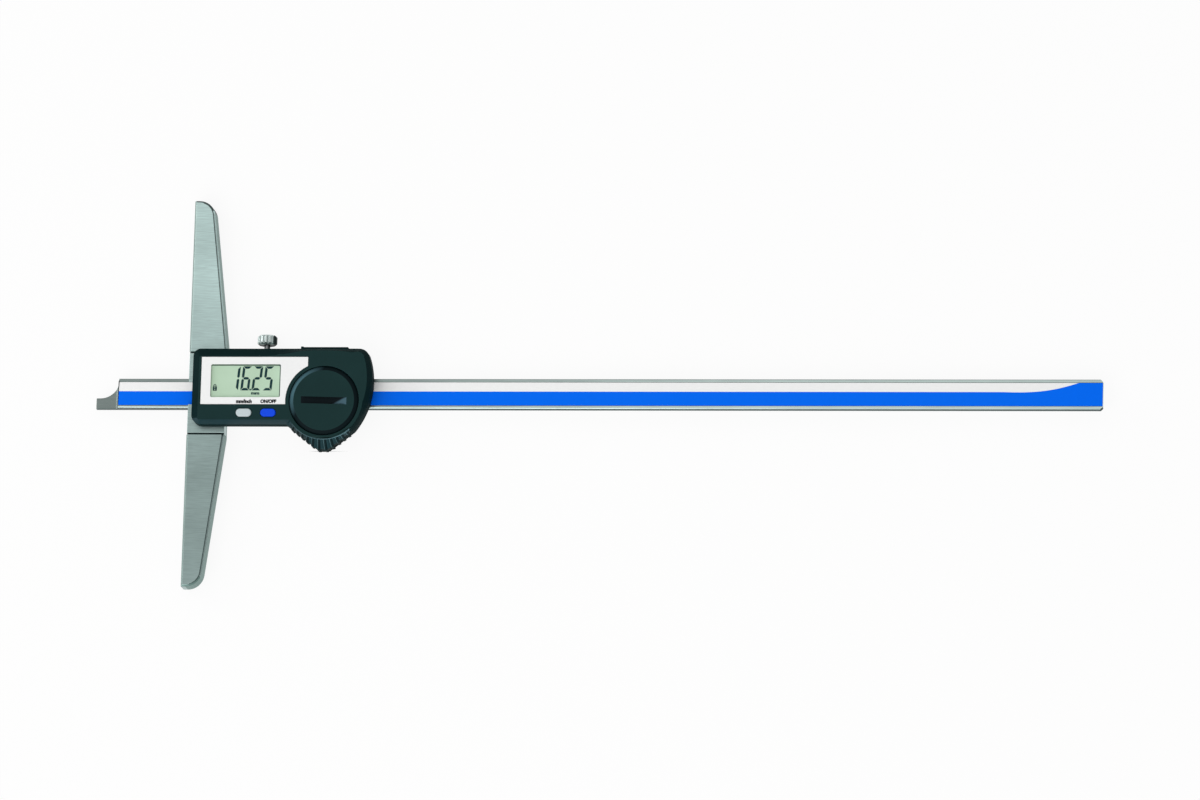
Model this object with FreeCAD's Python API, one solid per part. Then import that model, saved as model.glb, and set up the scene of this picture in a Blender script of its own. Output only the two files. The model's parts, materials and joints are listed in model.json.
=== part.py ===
"""Digital depth caliper: a bridge with a measuring face, a beam that slides through it, and a display unit.

Millimetres. X runs along the beam and away from the measuring face, Y runs along the bridge, Z is up.
The origin is on the measuring face, on the beam's centreline, in the back plane that the tool lies on.
"""

import FreeCAD
import Part
import math
import os

V = FreeCAD.Vector

# Clearances
SLIDE_GAP = 0.05
FIT_GAP = 0.1
COVER_GAP = 0.15

# Beam
BEAM_LENGTH = 385.4
BEAM_WIDTH = 11.5
BEAM_THICK = 3.45
BEAM_CHAMFER = 0.9
TIP_STAND_OUT = 35.8
TIP_WIDTH = 4.2
TIP_FLAT = 1.5
TIP_THICK = 1.8
TIP_BLEND = 1.3
SCALE_WIDTH = 8.9
SCALE_THICK = 0.8
LABEL_THICK = 0.15
LABEL_SINK = 0.05
STOP_LENGTH = 9.0
STOP_WIDTH = 9.6
STOP_FROM_END = 9.95

# Bridge and slider frame
BRIDGE_LENGTH = 150.0
BRIDGE_ROOT_WIDTH = 14.5
BRIDGE_END_WIDTH = 7.25
BRIDGE_END_RADIUS = 6.2
BRIDGE_EDGE = 0.65
BRIDGE_WAIST_MARGIN = 1.0
BACK_WALL = 2.0
LIP_THICK = 1.45
LIP_COVER = 1.25
BLOCK_WIDTH = 32.0
BLOCK_SET_BACK = 0.25
BLOCK_GROOVE = 0.5
FRAME_CORNER = 2.0
FRAME_SHY_TOP = 1.5
FRAME_SHY_BOTTOM = 1.9
FRAME_SHY_END = 5.8
FRAME_EDGE = 0.4
GIB_THICK = 0.9
GIB_SHY = 1.2
GIB_SCREW_RADIUS = 1.1
GIB_SCREW_LENGTH = 4.0
GIB_SCREW_X = (17.4, 49.0)

# Screws, as plain studs that end a little inside the back plane
SMALL_SCREW_RADIUS = 1.0
BRIDGE_SCREW_RADIUS = 1.75
BRIDGE_SCREW_LENGTH = 5.2
BRIDGE_SCREW_OFF_SLOT = 5.0
HOUSING_SCREW_INSET = 4.2
SCREW_SINK = 0.1
HOUSING_SCREW_SHY = 0.4

# Lock screw
LOCK_X = 29.55
LOCK_PITCH = 0.5
LOCK_SHANK_RADIUS = 1.12
LOCK_PAD_LENGTH = 0.6
LOCK_PAD_GAP = 0.15
LOCK_HEAD_RADIUS = 3.73
LOCK_HEAD_HEIGHT = 3.65
LOCK_HEAD_CHAMFER = 0.6
LOCK_HEAD_CLEAR = 2.85
LOCK_KNURLS = 14
LOCK_KNURL_DEPTH = 0.4
LOCK_KNURL_SPREAD = 0.85

# Housing in plan
HOUSING_SET_IN = 2.5
BEVEL_LEFT = 2.9
BEVEL_TOP = 3.45
BEVEL_RIGHT = 1.6
BEVEL_BOTTOM = 1.35
BEVEL_PORT = 1.2
CORNER_TOP = 2.8
CORNER_BOTTOM = 3.9
CORNER_RIGHT = 4.0
CORNER_RIGHT_DROP = 2.5
CORNER_RIGHT_BOW = 0.76
FACE_CORNER = 0.8
FACE_CORNER_DROP = 2.0
FACE_CORNER_BOW = 1.12
SIDE_RADIUS = 31.0
SIDE_CENTRE_Y = 3.7
RISE_START = 5.7
RISE_LENGTH = 12.5
RISE_DIP = 0.4
RISE_BOW = -0.28
PORT_BOW = 0.62

# Label and display
LABEL_TOP = 12.35
LABEL_MARGIN = 1.0
LABEL_TOP_MARGIN = 0.45
FRONT_LABEL_THICK = 0.3
WINDOW_WIDTH = 26.9
WINDOW_HEIGHT = 12.8
WINDOW_CORNER = 0.6
WINDOW_LEFT_BAND = 3.65
WINDOW_TOP_BAND = 2.8
WINDOW_BOTTOM_BAND = 2.7
LABEL_RIGHT_BAND = 10.4
LENS_FLANGE = 0.4
LENS_LAP = 1.0
LENS_SINK = 0.35
GLASS_LAP = 1.2
GLASS_THICK = 1.4
ZEBRA_WIDTH = 1.6
ZEBRA_HEIGHT = 2.0
HOLDER_WALL = 0.8

# Housing in height
REAR_FLOOR = 1.0
PARTING = 1.2
BOARD_STAND = 0.9
BOARD_THICK = 0.8
FRONT_WALL = 1.0
BEVEL_DROP = 3.0
SIDE_WALL = 1.6
TONGUE_THICK = 0.8
TONGUE_HEIGHT = 0.9
BOSS_WIDTH = 3.8
CAVITY_CORNER = 1.2

# Buttons
BUTTON_LENGTH = 5.9
BUTTON_WIDTH = 3.1
BUTTON_STAND = 0.4
BUTTON_TRAVEL = 0.4
BUTTON_DROP = 3.3
BUTTON_PITCH = 9.4
BUTTON_FROM_WINDOW = 13.15
BUTTON_FLANGE = 0.55
BUTTON_FLANGE_LAP = 0.7
BUTTON_STEM_WIDTH = 2.0
BUTTON_BEVEL = 0.3
BUTTON_EDGE_MARGIN = 2.6
SWITCH_SIZE = 4.0
SWITCH_HEIGHT = 0.5
SWITCH_DOME_WIDTH = 2.4
SWITCH_DOME_HEIGHT = 0.3

# Battery and its cover
BATTERY_RADIUS = 10.0
BATTERY_THICK = 3.2
BATTERY_Y = -4.5
BATTERY_FROM_WINDOW = 16.95
CONTACT_THICK = 0.25
POSITIVE_CONTACT_AT = 150.0
POSITIVE_CONTACT_ANGLE = 40.0
COVER_RADIUS = 13.3
COVER_THICK = 1.4
COVER_BEVEL = 1.6
COVER_BEVEL_DROP = 0.95
COVER_OVER_BATTERY = 0.3
COVER_RIM = 1.55
LEG_WALL = 0.8
LUG_COUNT = 3
LUG_ANGLE = 30.0
LUG_REACH = 0.7
LUG_THICK = 0.8
LUG_START = 60.0
LEDGE_THICK = 0.8
UNLOCK_ANGLE = 45.0
NOTCH_SPARE = 3.0
COIN_SLOT_LENGTH = 17.5
COIN_SLOT_WIDTH = 2.65
COIN_SLOT_DEPTH = 1.0
SIDE_TO_BATTERY = 17.95
WELL_WALL_THICK = 1.2

# Thumb rest
THUMB_DROP = 9.5
THUMB_TIP_WIDTH = 4.3
THUMB_TIP_SHIFT = 0.15
THUMB_RIGHT_Y = -15.2
THUMB_LEFT_REACH = 14.6
RIB_COUNT = 11
RIB_PITCH = 8.54
RIB_MIDDLE = -95.4
RIB_WIDTH = 0.95
RIB_HEIGHT = 0.5
RIB_ROOT = 2.0
RIB_TOP_RISE = 0.25

# Data port
PORT_COVER_LENGTH = 18.3
PORT_COVER_HEIGHT = 0.6
PORT_COVER_DEPTH = 3.2
PORT_COVER_FROM_RIGHT = 9.75
PORT_COVER_SET_DOWN = 0.35
PORT_TRAVEL = 11.0
PORT_TONGUE_DEPTH = 0.6
PORT_TONGUE_NARROW = 1.5
PORT_TONGUE_WIDE = 2.2
PORT_OPENING_LENGTH = 10.0
PORT_OPENING_HEIGHT = 1.3
PORT_NUB = 0.25
PORT_NUB_LENGTH = 1.0
PORT_CONTACTS = 4
PORT_CONTACT_WIDTH = 1.2
PORT_BODY_DEPTH = 1.6

# Circuit boards
BOARD_SHY = 0.6
PICKUP_GAP = 0.12
PICKUP_THICK = 0.8
PICKUP_LENGTH = 44.0
PICKUP_PINS = 6
PIN_SIZE = 0.6
PIN_PITCH = 2.54
PIN_WINDOW_MARGIN = 1.2
CHIP_SIZE = 6.0
CHIP_HEIGHT = 0.9
CHIP_FROM_HOLDER = 0.6
CRYSTAL_LENGTH = 4.7
CRYSTAL_WIDTH = 1.8
CRYSTAL_HEIGHT = 1.1

# Wiper
WIPER_THICK = 2.0
WIPER_STAND_OUT = 0.2
WIPER_LOW = 5.9
WIPER_HIGH = 7.7
WIPER_HEIGHT = 3.2
WIPER_TONGUE_THICK = 1.2
WIPER_RUB = 0.03

# Levels worked out from the sizes above
BEAM_BACK = BACK_WALL + SLIDE_GAP
BEAM_FACE = BEAM_BACK + BEAM_THICK
LIP_UNDER = BEAM_FACE + SLIDE_GAP
FRAME_FACE = LIP_UNDER + LIP_THICK
FLOOR_TOP = FRAME_FACE + REAR_FLOOR
PARTING_Z = FRAME_FACE + PARTING
BOARD_BACK = FLOOR_TOP + BOARD_STAND
BOARD_TOP = BOARD_BACK + BOARD_THICK
GLASS_BACK = BOARD_TOP + ZEBRA_HEIGHT
GLASS_TOP = GLASS_BACK + GLASS_THICK
WALL_INSIDE = GLASS_TOP + FIT_GAP + LENS_FLANGE
FACE_Z = WALL_INSIDE + FRONT_WALL
BEVEL_Z = FACE_Z - BEVEL_DROP
CELL_BACK = BOARD_TOP + CONTACT_THICK
CELL_TOP = CELL_BACK + BATTERY_THICK
COVER_UNDER = CELL_TOP + COVER_OVER_BATTERY
LEDGE_TOP = COVER_UNDER - FIT_GAP
LEDGE_UNDER = LEDGE_TOP - LEDGE_THICK
LUG_TOP = LEDGE_UNDER - FIT_GAP
LUG_BOTTOM = LUG_TOP - LUG_THICK
COVER_TOP = COVER_UNDER + COVER_THICK
SCREW_Z = (BEAM_BACK + BEAM_FACE) / 2

# Places in plan worked out from the sizes above
BEAM_HALF = BEAM_WIDTH / 2
SLOT_LOW = -BEAM_HALF - SLIDE_GAP
SLOT_HIGH = BEAM_HALF + 2 * SLIDE_GAP + GIB_THICK
LIP_EDGE = BEAM_HALF - LIP_COVER
TIP_X = -TIP_STAND_OUT
BEAM_END = TIP_X + BEAM_LENGTH
SHOULDER_X = TIP_X + TIP_FLAT + BEAM_WIDTH - TIP_WIDTH
BLOCK_HALF = BLOCK_WIDTH / 2
FACE_LEFT = HOUSING_SET_IN + BEVEL_LEFT
FACE_TOP = LABEL_TOP + LABEL_TOP_MARGIN
HOUSING_TOP = FACE_TOP + BEVEL_TOP
LABEL_LEFT = FACE_LEFT + LABEL_MARGIN
WINDOW_LEFT = LABEL_LEFT + WINDOW_LEFT_BAND
WINDOW_RIGHT = WINDOW_LEFT + WINDOW_WIDTH
WINDOW_TOP = LABEL_TOP - WINDOW_TOP_BAND
WINDOW_BOTTOM = WINDOW_TOP - WINDOW_HEIGHT
LABEL_BOTTOM = WINDOW_BOTTOM - WINDOW_BOTTOM_BAND
LABEL_RIGHT = WINDOW_RIGHT + LABEL_RIGHT_BAND
BUTTON_Y = LABEL_BOTTOM - BUTTON_DROP
FACE_BOTTOM = BUTTON_Y - BUTTON_EDGE_MARGIN
HOUSING_BOTTOM = FACE_BOTTOM - BEVEL_BOTTOM
BATTERY_X = WINDOW_RIGHT + BATTERY_FROM_WINDOW
BOSS_RING = COVER_RADIUS + COVER_RIM
HOUSING_RIGHT = BATTERY_X + SIDE_TO_BATTERY
SIDE_CENTRE_X = HOUSING_RIGHT - SIDE_RADIUS
RISE_X = WINDOW_RIGHT - RISE_START
THUMB_Y = HOUSING_BOTTOM - THUMB_DROP
FRAME_TOP = HOUSING_TOP - FRAME_SHY_TOP
FRAME_BOTTOM = HOUSING_BOTTOM + FRAME_SHY_BOTTOM
FRAME_END = HOUSING_RIGHT - FRAME_SHY_END
CAVITY_LEFT = HOUSING_SET_IN + SIDE_WALL
CAVITY_RIGHT = FRAME_END - FIT_GAP
CAVITY_TOP = HOUSING_TOP - SIDE_WALL
CAVITY_BOTTOM = HOUSING_BOTTOM + SIDE_WALL
LEG_OUT = COVER_RADIUS - COVER_RIM - COVER_GAP
LEG_IN = LEG_OUT - LEG_WALL
LUG_OUT = LEG_OUT + LUG_REACH
WELL_OUT = LUG_OUT + COVER_GAP + WELL_WALL_THICK
PORT_RIGHT = HOUSING_RIGHT - PORT_COVER_FROM_RIGHT
PORT_LEFT = PORT_RIGHT - PORT_COVER_LENGTH
PORT_Z = BEVEL_Z - PORT_COVER_SET_DOWN - PORT_COVER_DEPTH / 2
BUTTON_PLACES = [
    (WINDOW_LEFT + BUTTON_FROM_WINDOW + step * BUTTON_PITCH, BUTTON_Y) for step in (0, 1)
]
HOUSING_SCREWS = [
    (BRIDGE_ROOT_WIDTH + HOUSING_SCREW_INSET, (SLOT_LOW + FRAME_BOTTOM) / 2),
    (FRAME_END - HOUSING_SCREW_INSET, (SLOT_HIGH + FRAME_TOP) / 2),
]
BRIDGE_SCREWS = [
    (BRIDGE_ROOT_WIDTH / 2, side * (BEAM_HALF + BRIDGE_SCREW_OFF_SLOT)) for side in (-1, 1)
]


# Shape helpers
def box(x0, x1, y0, y1, z0, z1):
    return Part.makeBox(x1 - x0, y1 - y0, z1 - z0, V(x0, y0, z0))


def post(x, y, radius, z0, z1):
    return Part.makeCylinder(radius, z1 - z0, V(x, y, z0))


def rod_along_y(x, z, radius, y0, y1):
    return Part.makeCylinder(radius, y1 - y0, V(x, y0, z), V(0, 1, 0))


def face_from(start, steps, z=0.0):
    """A flat face. Each step is an end point, or a pair of a middle point and an end point for an arc."""
    edges = []
    here = start
    for step in steps:
        if isinstance(step[0], tuple):
            middle, end = step
            edges.append(Part.Arc(V(*here, z), V(*middle, z), V(*end, z)).toShape())
        else:
            end = step
            edges.append(Part.LineSegment(V(*here, z), V(*end, z)).toShape())
        here = end
    return Part.Face(Part.Wire(edges))


def prism(face, z0, z1):
    moved = face.copy()
    moved.translate(V(0, 0, z0 - face.BoundBox.ZMin))
    return moved.extrude(V(0, 0, z1 - z0))


def corner_mid(cx, cy, radius, angle):
    return (cx + radius * math.cos(math.radians(angle)), cy + radius * math.sin(math.radians(angle)))


def rounded_rectangle(x0, x1, y0, y1, radius):
    steps = [
        (x1 - radius, y0),
        (corner_mid(x1 - radius, y0 + radius, radius, -45), (x1, y0 + radius)),
        (x1, y1 - radius),
        (corner_mid(x1 - radius, y1 - radius, radius, 45), (x1 - radius, y1)),
        (x0 + radius, y1),
        (corner_mid(x0 + radius, y1 - radius, radius, 135), (x0, y1 - radius)),
        (x0, y0 + radius),
        (corner_mid(x0 + radius, y0 + radius, radius, -135), (x0 + radius, y0)),
    ]
    return face_from((x0 + radius, y0), steps)


def stadium(cx, cy, length, width):
    half, r = (length - width) / 2, width / 2
    steps = [
        (cx + half, cy - r),
        ((cx + half + r, cy), (cx + half, cy + r)),
        (cx - half, cy + r),
        ((cx - half - r, cy), (cx - half, cy - r)),
    ]
    return face_from((cx - half, cy - r), steps)


def sector(x, y, radius, z0, z1, middle, width):
    """A wedge of a disc, centred on the direction that middle gives in degrees."""
    wedge = Part.makeCylinder(radius, z1 - z0, V(x, y, z0), V(0, 0, 1), width)
    wedge.rotate(V(x, y, 0), V(0, 0, 1), middle - width / 2)
    return wedge


def revolved(x, y, profile):
    """A solid turned about the upright axis at x, y from radius and height pairs."""
    points = [V(x + r, y, z) for r, z in profile]
    flat = Part.Face(Part.makePolygon(points + points[:1]))
    return flat.revolve(V(x, y, 0), V(0, 0, 1), 360)


def studs(places, radius, end):
    return Part.makeCompound([post(x, y, radius, SCREW_SINK, end) for x, y in places])


def stud_holes(places, radius, z0, z1):
    return Part.makeCompound([post(x, y, radius + SLIDE_GAP, z0, z1) for x, y in places])


# Housing outlines
def arc_on(cx, cy, radius, a0, a1):
    """The middle and end points of an arc on a circle, from one angle to another in degrees."""
    return (corner_mid(cx, cy, radius, (a0 + a1) / 2), corner_mid(cx, cy, radius, a1))


def angle_at(cx, cy, point):
    return math.degrees(math.atan2(point[1] - cy, point[0] - cx))


def bowed(start, end, bow):
    """The middle and end points of an arc whose middle stands a bow's height to the left of its chord."""
    dx, dy = end[0] - start[0], end[1] - start[1]
    chord = math.hypot(dx, dy)
    middle = ((start[0] + end[0]) / 2 - bow * dy / chord, (start[1] + end[1]) / 2 + bow * dx / chord)
    return (middle, end)


def side_x(radius, y):
    return SIDE_CENTRE_X + math.sqrt(radius**2 - (y - SIDE_CENTRE_Y) ** 2)


def side_angle(radius, y):
    return math.degrees(math.asin((y - SIDE_CENTRE_Y) / radius))


def circles_meet(c1, r1, c2, r2):
    """The upper of the two points where two circles cross."""
    dx, dy = c2[0] - c1[0], c2[1] - c1[1]
    gap = math.hypot(dx, dy)
    along = (gap**2 + r1**2 - r2**2) / (2 * gap)
    off = math.sqrt(r1**2 - along**2)
    mx, my = c1[0] + along * dx / gap, c1[1] + along * dy / gap
    crossings = [(mx + s * off * dy / gap, my - s * off * dx / gap) for s in (-1, 1)]
    return max(crossings, key=lambda point: point[1])


FACE_SIDE_RADIUS = SIDE_RADIUS - BEVEL_RIGHT
SIDE_JOIN = circles_meet(
    (SIDE_CENTRE_X, SIDE_CENTRE_Y), FACE_SIDE_RADIUS, (BATTERY_X, BATTERY_Y), BOSS_RING
)
SIDE_TOP_Y = HOUSING_TOP - CORNER_RIGHT_DROP
THUMB_RIGHT = (side_x(SIDE_RADIUS, THUMB_RIGHT_Y), THUMB_RIGHT_Y)
THUMB_TIP_RIGHT = (BATTERY_X + THUMB_TIP_WIDTH / 2 - THUMB_TIP_SHIFT, THUMB_Y)
THUMB_TIP_LEFT = (THUMB_TIP_RIGHT[0] - THUMB_TIP_WIDTH, THUMB_Y)
THUMB_LEFT = (BATTERY_X - THUMB_LEFT_REACH, HOUSING_BOTTOM)
RISE_END = RISE_X + RISE_LENGTH


def outer_outline(z=0.0):
    """The housing's outline, starting at the top of its left side and going round clockwise."""
    left, top, low = HOUSING_SET_IN, HOUSING_TOP, HOUSING_BOTTOM
    corner_x = side_x(SIDE_RADIUS, SIDE_TOP_Y)
    corner_start = (corner_x - CORNER_RIGHT, top)
    join_y = SIDE_JOIN[1]
    steps = [
        (corner_mid(left + CORNER_TOP, top - CORNER_TOP, CORNER_TOP, 135), (left + CORNER_TOP, top)),
        (RISE_X, top),
        (RISE_END, top),
        corner_start,
        bowed(corner_start, (corner_x, SIDE_TOP_Y), CORNER_RIGHT_BOW),
        arc_on(SIDE_CENTRE_X, SIDE_CENTRE_Y, SIDE_RADIUS, side_angle(SIDE_RADIUS, SIDE_TOP_Y),
               side_angle(SIDE_RADIUS, join_y)),
        arc_on(SIDE_CENTRE_X, SIDE_CENTRE_Y, SIDE_RADIUS, side_angle(SIDE_RADIUS, join_y),
               side_angle(SIDE_RADIUS, THUMB_RIGHT_Y)),
        THUMB_TIP_RIGHT,
        THUMB_TIP_LEFT,
        THUMB_LEFT,
        (left + CORNER_BOTTOM, low),
        (corner_mid(left + CORNER_BOTTOM, low + CORNER_BOTTOM, CORNER_BOTTOM, -135),
         (left, low + CORNER_BOTTOM)),
        (left, top - CORNER_TOP),
    ]
    return face_from((left, top - CORNER_TOP), steps, z)


def face_outline(z=0.0):
    """The outline of the flat front face, with one edge for each edge of the outer outline."""
    left, top, low = FACE_LEFT, FACE_TOP, FACE_BOTTOM
    r = FACE_CORNER
    rise_end = (RISE_END, HOUSING_TOP - BEVEL_PORT - RISE_DIP)
    corner_y = SIDE_TOP_Y - BEVEL_RIGHT
    corner_x = side_x(FACE_SIDE_RADIUS, corner_y)
    corner_start = (corner_x - CORNER_RIGHT, corner_y + FACE_CORNER_DROP)
    boss = (BATTERY_X, BATTERY_Y, BOSS_RING)
    low_left = (BATTERY_X - math.sqrt(BOSS_RING**2 - (low - BATTERY_Y) ** 2), low)
    ends = (SIDE_JOIN, THUMB_RIGHT, THUMB_TIP_RIGHT, THUMB_TIP_LEFT, low_left)
    turns = [angle_at(BATTERY_X, BATTERY_Y, point) for point in ends]
    steps = [
        (corner_mid(left + r, top - r, r, 135), (left + r, top)),
        (RISE_X, top),
        bowed((RISE_X, top), rise_end, RISE_BOW),
        bowed(rise_end, corner_start, PORT_BOW),
        bowed(corner_start, (corner_x, corner_y), FACE_CORNER_BOW),
        arc_on(SIDE_CENTRE_X, SIDE_CENTRE_Y, FACE_SIDE_RADIUS, side_angle(FACE_SIDE_RADIUS, corner_y),
               side_angle(FACE_SIDE_RADIUS, SIDE_JOIN[1])),
        arc_on(*boss, turns[0], turns[1]),
        arc_on(*boss, turns[1], turns[2]),
        arc_on(*boss, turns[2], turns[3]),
        arc_on(*boss, turns[3], turns[4]),
        (left + r, low),
        (corner_mid(left + r, low + r, r, -135), (left, low + r)),
        (left, top - r),
    ]
    return face_from((left, top - r), steps, z)


# Beam
def beam_rail():
    """The steel rail: a stepped measuring tip, a groove for the scale, and chamfered end corners."""
    low, high = -BEAM_HALF, BEAM_HALF
    tip_top = low + TIP_WIDTH
    arc_x = TIP_X + TIP_FLAT
    rise = high - tip_top
    steps = [
        (BEAM_END - BEAM_CHAMFER, low),
        (BEAM_END, low + BEAM_CHAMFER),
        (BEAM_END, high - BEAM_CHAMFER),
        (BEAM_END - BEAM_CHAMFER, high),
        (SHOULDER_X, high),
        (corner_mid(arc_x, high, rise, -45), (arc_x, tip_top)),
        (TIP_X, tip_top),
        (TIP_X, low),
    ]
    rail = prism(face_from((TIP_X, low), steps), BEAM_BACK, BEAM_FACE)
    groove_floor = BEAM_FACE - LABEL_SINK - LABEL_THICK - SCALE_THICK
    groove = box(SHOULDER_X, BEAM_END, -SCALE_WIDTH / 2, SCALE_WIDTH / 2, groove_floor, BEAM_FACE)
    relief_z = BEAM_BACK + TIP_THICK
    edge = SHOULDER_X - FIT_GAP
    relief = box(TIP_X, edge - TIP_BLEND, low, high, relief_z, BEAM_FACE)
    relief = relief.fuse(box(edge - TIP_BLEND, edge, low, high, relief_z + TIP_BLEND, BEAM_FACE))
    relief = relief.fuse(
        Part.makeCylinder(TIP_BLEND, BEAM_WIDTH, V(edge - TIP_BLEND, low, relief_z + TIP_BLEND), V(0, 1, 0))
    )
    hole = stud_holes([stop_middle()], SMALL_SCREW_RADIUS, BEAM_BACK, groove_floor)
    return rail.cut([groove.fuse(relief), hole])


def scale_strip():
    """The printed glass-fibre scale glued in the groove."""
    top = BEAM_FACE - LABEL_SINK - LABEL_THICK
    half = SCALE_WIDTH / 2
    return box(SHOULDER_X, BEAM_END, -half, half, top - SCALE_THICK, top)


def scale_label():
    """The two-colour strip over the scale."""
    top = BEAM_FACE - LABEL_SINK
    half = SCALE_WIDTH / 2
    return box(SHOULDER_X, BEAM_END, -half, half, top - LABEL_THICK, top)


def stop_left():
    return BEAM_END - STOP_FROM_END - STOP_LENGTH


def stop_middle():
    return (stop_left() + STOP_LENGTH / 2, 0.0)


def stop_block():
    """The stop under the rail, which meets the frame at full travel and keeps the beam level at rest."""
    half = STOP_WIDTH / 2
    outline = rounded_rectangle(stop_left(), stop_left() + STOP_LENGTH, -half, half, FRAME_CORNER)
    return prism(outline, 0, BEAM_BACK).cut(stud_holes([stop_middle()], SMALL_SCREW_RADIUS, 0, BEAM_BACK))


def stop_screw():
    groove_floor = BEAM_FACE - LABEL_SINK - LABEL_THICK - SCALE_THICK
    return post(*stop_middle(), SMALL_SCREW_RADIUS, SCREW_SINK, groove_floor - FIT_GAP)


# Bridge and frame
def bridge_outline():
    """One bar with a straight measuring edge, a tapered back and rounded ends."""
    half = BRIDGE_LENGTH / 2
    waist = BLOCK_HALF + BRIDGE_WAIST_MARGIN
    slope = (BRIDGE_ROOT_WIDTH - BRIDGE_END_WIDTH) / (half - waist)
    r = BRIDGE_END_RADIUS
    lean = math.hypot(1, slope)
    centre_y = half - r
    centre_x = BRIDGE_ROOT_WIDTH - slope * (centre_y - waist) - r * lean
    tilt = math.degrees(math.atan(slope))
    upper = arc_on(centre_x, centre_y, r, tilt, 90)
    tangent = corner_mid(centre_x, centre_y, r, tilt)
    lower_mid = (upper[0][0], -upper[0][1])
    steps = [
        (centre_x, -half),
        (lower_mid, (tangent[0], -tangent[1])),
        (BRIDGE_ROOT_WIDTH, -waist),
        (BRIDGE_ROOT_WIDTH, waist),
        tangent,
        upper,
        (0, half),
        (0, -half),
    ]
    return face_from((0, -half), steps)


def bridge():
    """The hardened bar. Its middle is cut down to a web that the slider frame's block sits on."""
    bar = prism(bridge_outline(), 0, FRAME_FACE)
    front_edges = [edge for edge in bar.Edges if edge.BoundBox.ZMin > FRAME_FACE - BRIDGE_EDGE]
    bar = bar.makeChamfer(BRIDGE_EDGE, front_edges)
    pocket = BLOCK_HALF + SLIDE_GAP
    bar = bar.cut(box(0, BRIDGE_ROOT_WIDTH, -pocket, pocket, BACK_WALL, FRAME_FACE))
    return bar.cut(stud_holes(BRIDGE_SCREWS, BRIDGE_SCREW_RADIUS, 0, BACK_WALL))


def bridge_screws():
    return studs(BRIDGE_SCREWS, BRIDGE_SCREW_RADIUS, BRIDGE_SCREW_LENGTH)


def slider_frame():
    """The steel slider: a block in the bridge's pocket and a long guide with lips over the beam's edges."""
    block_right = BRIDGE_ROOT_WIDTH + FIT_GAP
    block = box(BLOCK_SET_BACK, block_right, -BLOCK_HALF, BLOCK_HALF, BACK_WALL, FRAME_FACE)
    plan = rounded_rectangle(block_right - FRAME_CORNER, FRAME_END, FRAME_BOTTOM, FRAME_TOP, FRAME_CORNER)
    guide = prism(plan, 0, FRAME_FACE)
    guide = guide.cut(box(0, block_right, FRAME_BOTTOM, FRAME_TOP, 0, BACK_WALL))
    frame = block.fuse(guide).removeSplitter()
    frame = frame.cut(box(0, FRAME_END, SLOT_LOW, SLOT_HIGH, BACK_WALL, LIP_UNDER))
    frame = frame.cut(box(0, FRAME_END, -LIP_EDGE, LIP_EDGE, LIP_UNDER, FRAME_FACE))
    for y in (-BLOCK_HALF, BLOCK_HALF - BLOCK_GROOVE):
        frame = frame.cut(box(0, block_right, y, y + BLOCK_GROOVE, FRAME_FACE - BLOCK_GROOVE, FRAME_FACE))
    for x in GIB_SCREW_X:
        frame = frame.cut(rod_along_y(x, SCREW_Z, GIB_SCREW_RADIUS + SLIDE_GAP, BEAM_HALF, FRAME_TOP))
    frame = frame.cut(rod_along_y(LOCK_X, SCREW_Z, LOCK_SHANK_RADIUS + SLIDE_GAP, BEAM_HALF, FRAME_TOP))
    frame = frame.cut(stud_holes(HOUSING_SCREWS, SMALL_SCREW_RADIUS, 0, FRAME_FACE))
    return frame.cut(stud_holes(BRIDGE_SCREWS, BRIDGE_SCREW_RADIUS, BACK_WALL, BRIDGE_SCREW_LENGTH + FIT_GAP))


def gib_strip():
    """The flat strip that takes up the play between the beam's top edge and the frame."""
    y0 = BEAM_HALF + SLIDE_GAP
    return box(GIB_SHY, FRAME_END - GIB_SHY, y0, y0 + GIB_THICK, BEAM_BACK, BEAM_FACE)


def gib_screws():
    screws = []
    y0 = SLOT_HIGH
    for x in GIB_SCREW_X:
        y1 = y0 + GIB_SCREW_LENGTH
        screws.append(rod_along_y(x, SCREW_Z, GIB_SCREW_RADIUS, y0, y1))
    return Part.makeCompound(screws)


# Lock screw
def pad_bottom():
    return SLOT_HIGH + LOCK_PAD_GAP


def lock_screw_pad():
    y0 = pad_bottom()
    return rod_along_y(LOCK_X, SCREW_Z, LOCK_SHANK_RADIUS - SLIDE_GAP, y0, y0 + LOCK_PAD_LENGTH)


def lock_screw_shank():
    return rod_along_y(
        LOCK_X, SCREW_Z, LOCK_SHANK_RADIUS, pad_bottom() + LOCK_PAD_LENGTH, HOUSING_TOP + LOCK_HEAD_CLEAR
    )


def lock_screw_knob():
    """The knurled head, with chamfered rims."""
    r, h, c = LOCK_HEAD_RADIUS, LOCK_HEAD_HEIGHT, LOCK_HEAD_CHAMFER
    profile = [(0, 0), (r - c, 0), (r, c), (r, h - c), (r - c, h), (0, h)]
    knob = revolved(0, 0, profile)
    deep, wide = LOCK_KNURL_DEPTH, LOCK_KNURL_SPREAD
    points = [V(r - deep, 0, 0), V(r + deep, -wide, 0), V(r + deep, wide, 0)]
    groove = Part.Face(Part.makePolygon(points + points[:1])).extrude(V(0, 0, h))
    grooves = []
    for index in range(LOCK_KNURLS):
        turned = groove.copy()
        turned.rotate(V(0, 0, 0), V(0, 0, 1), 360 * index / LOCK_KNURLS)
        grooves.append(turned)
    knob = knob.cut(grooves)
    knob.rotate(V(0, 0, 0), V(1, 0, 0), -90)
    knob.translate(V(LOCK_X, HOUSING_TOP + LOCK_HEAD_CLEAR, SCREW_Z))
    return knob


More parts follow.
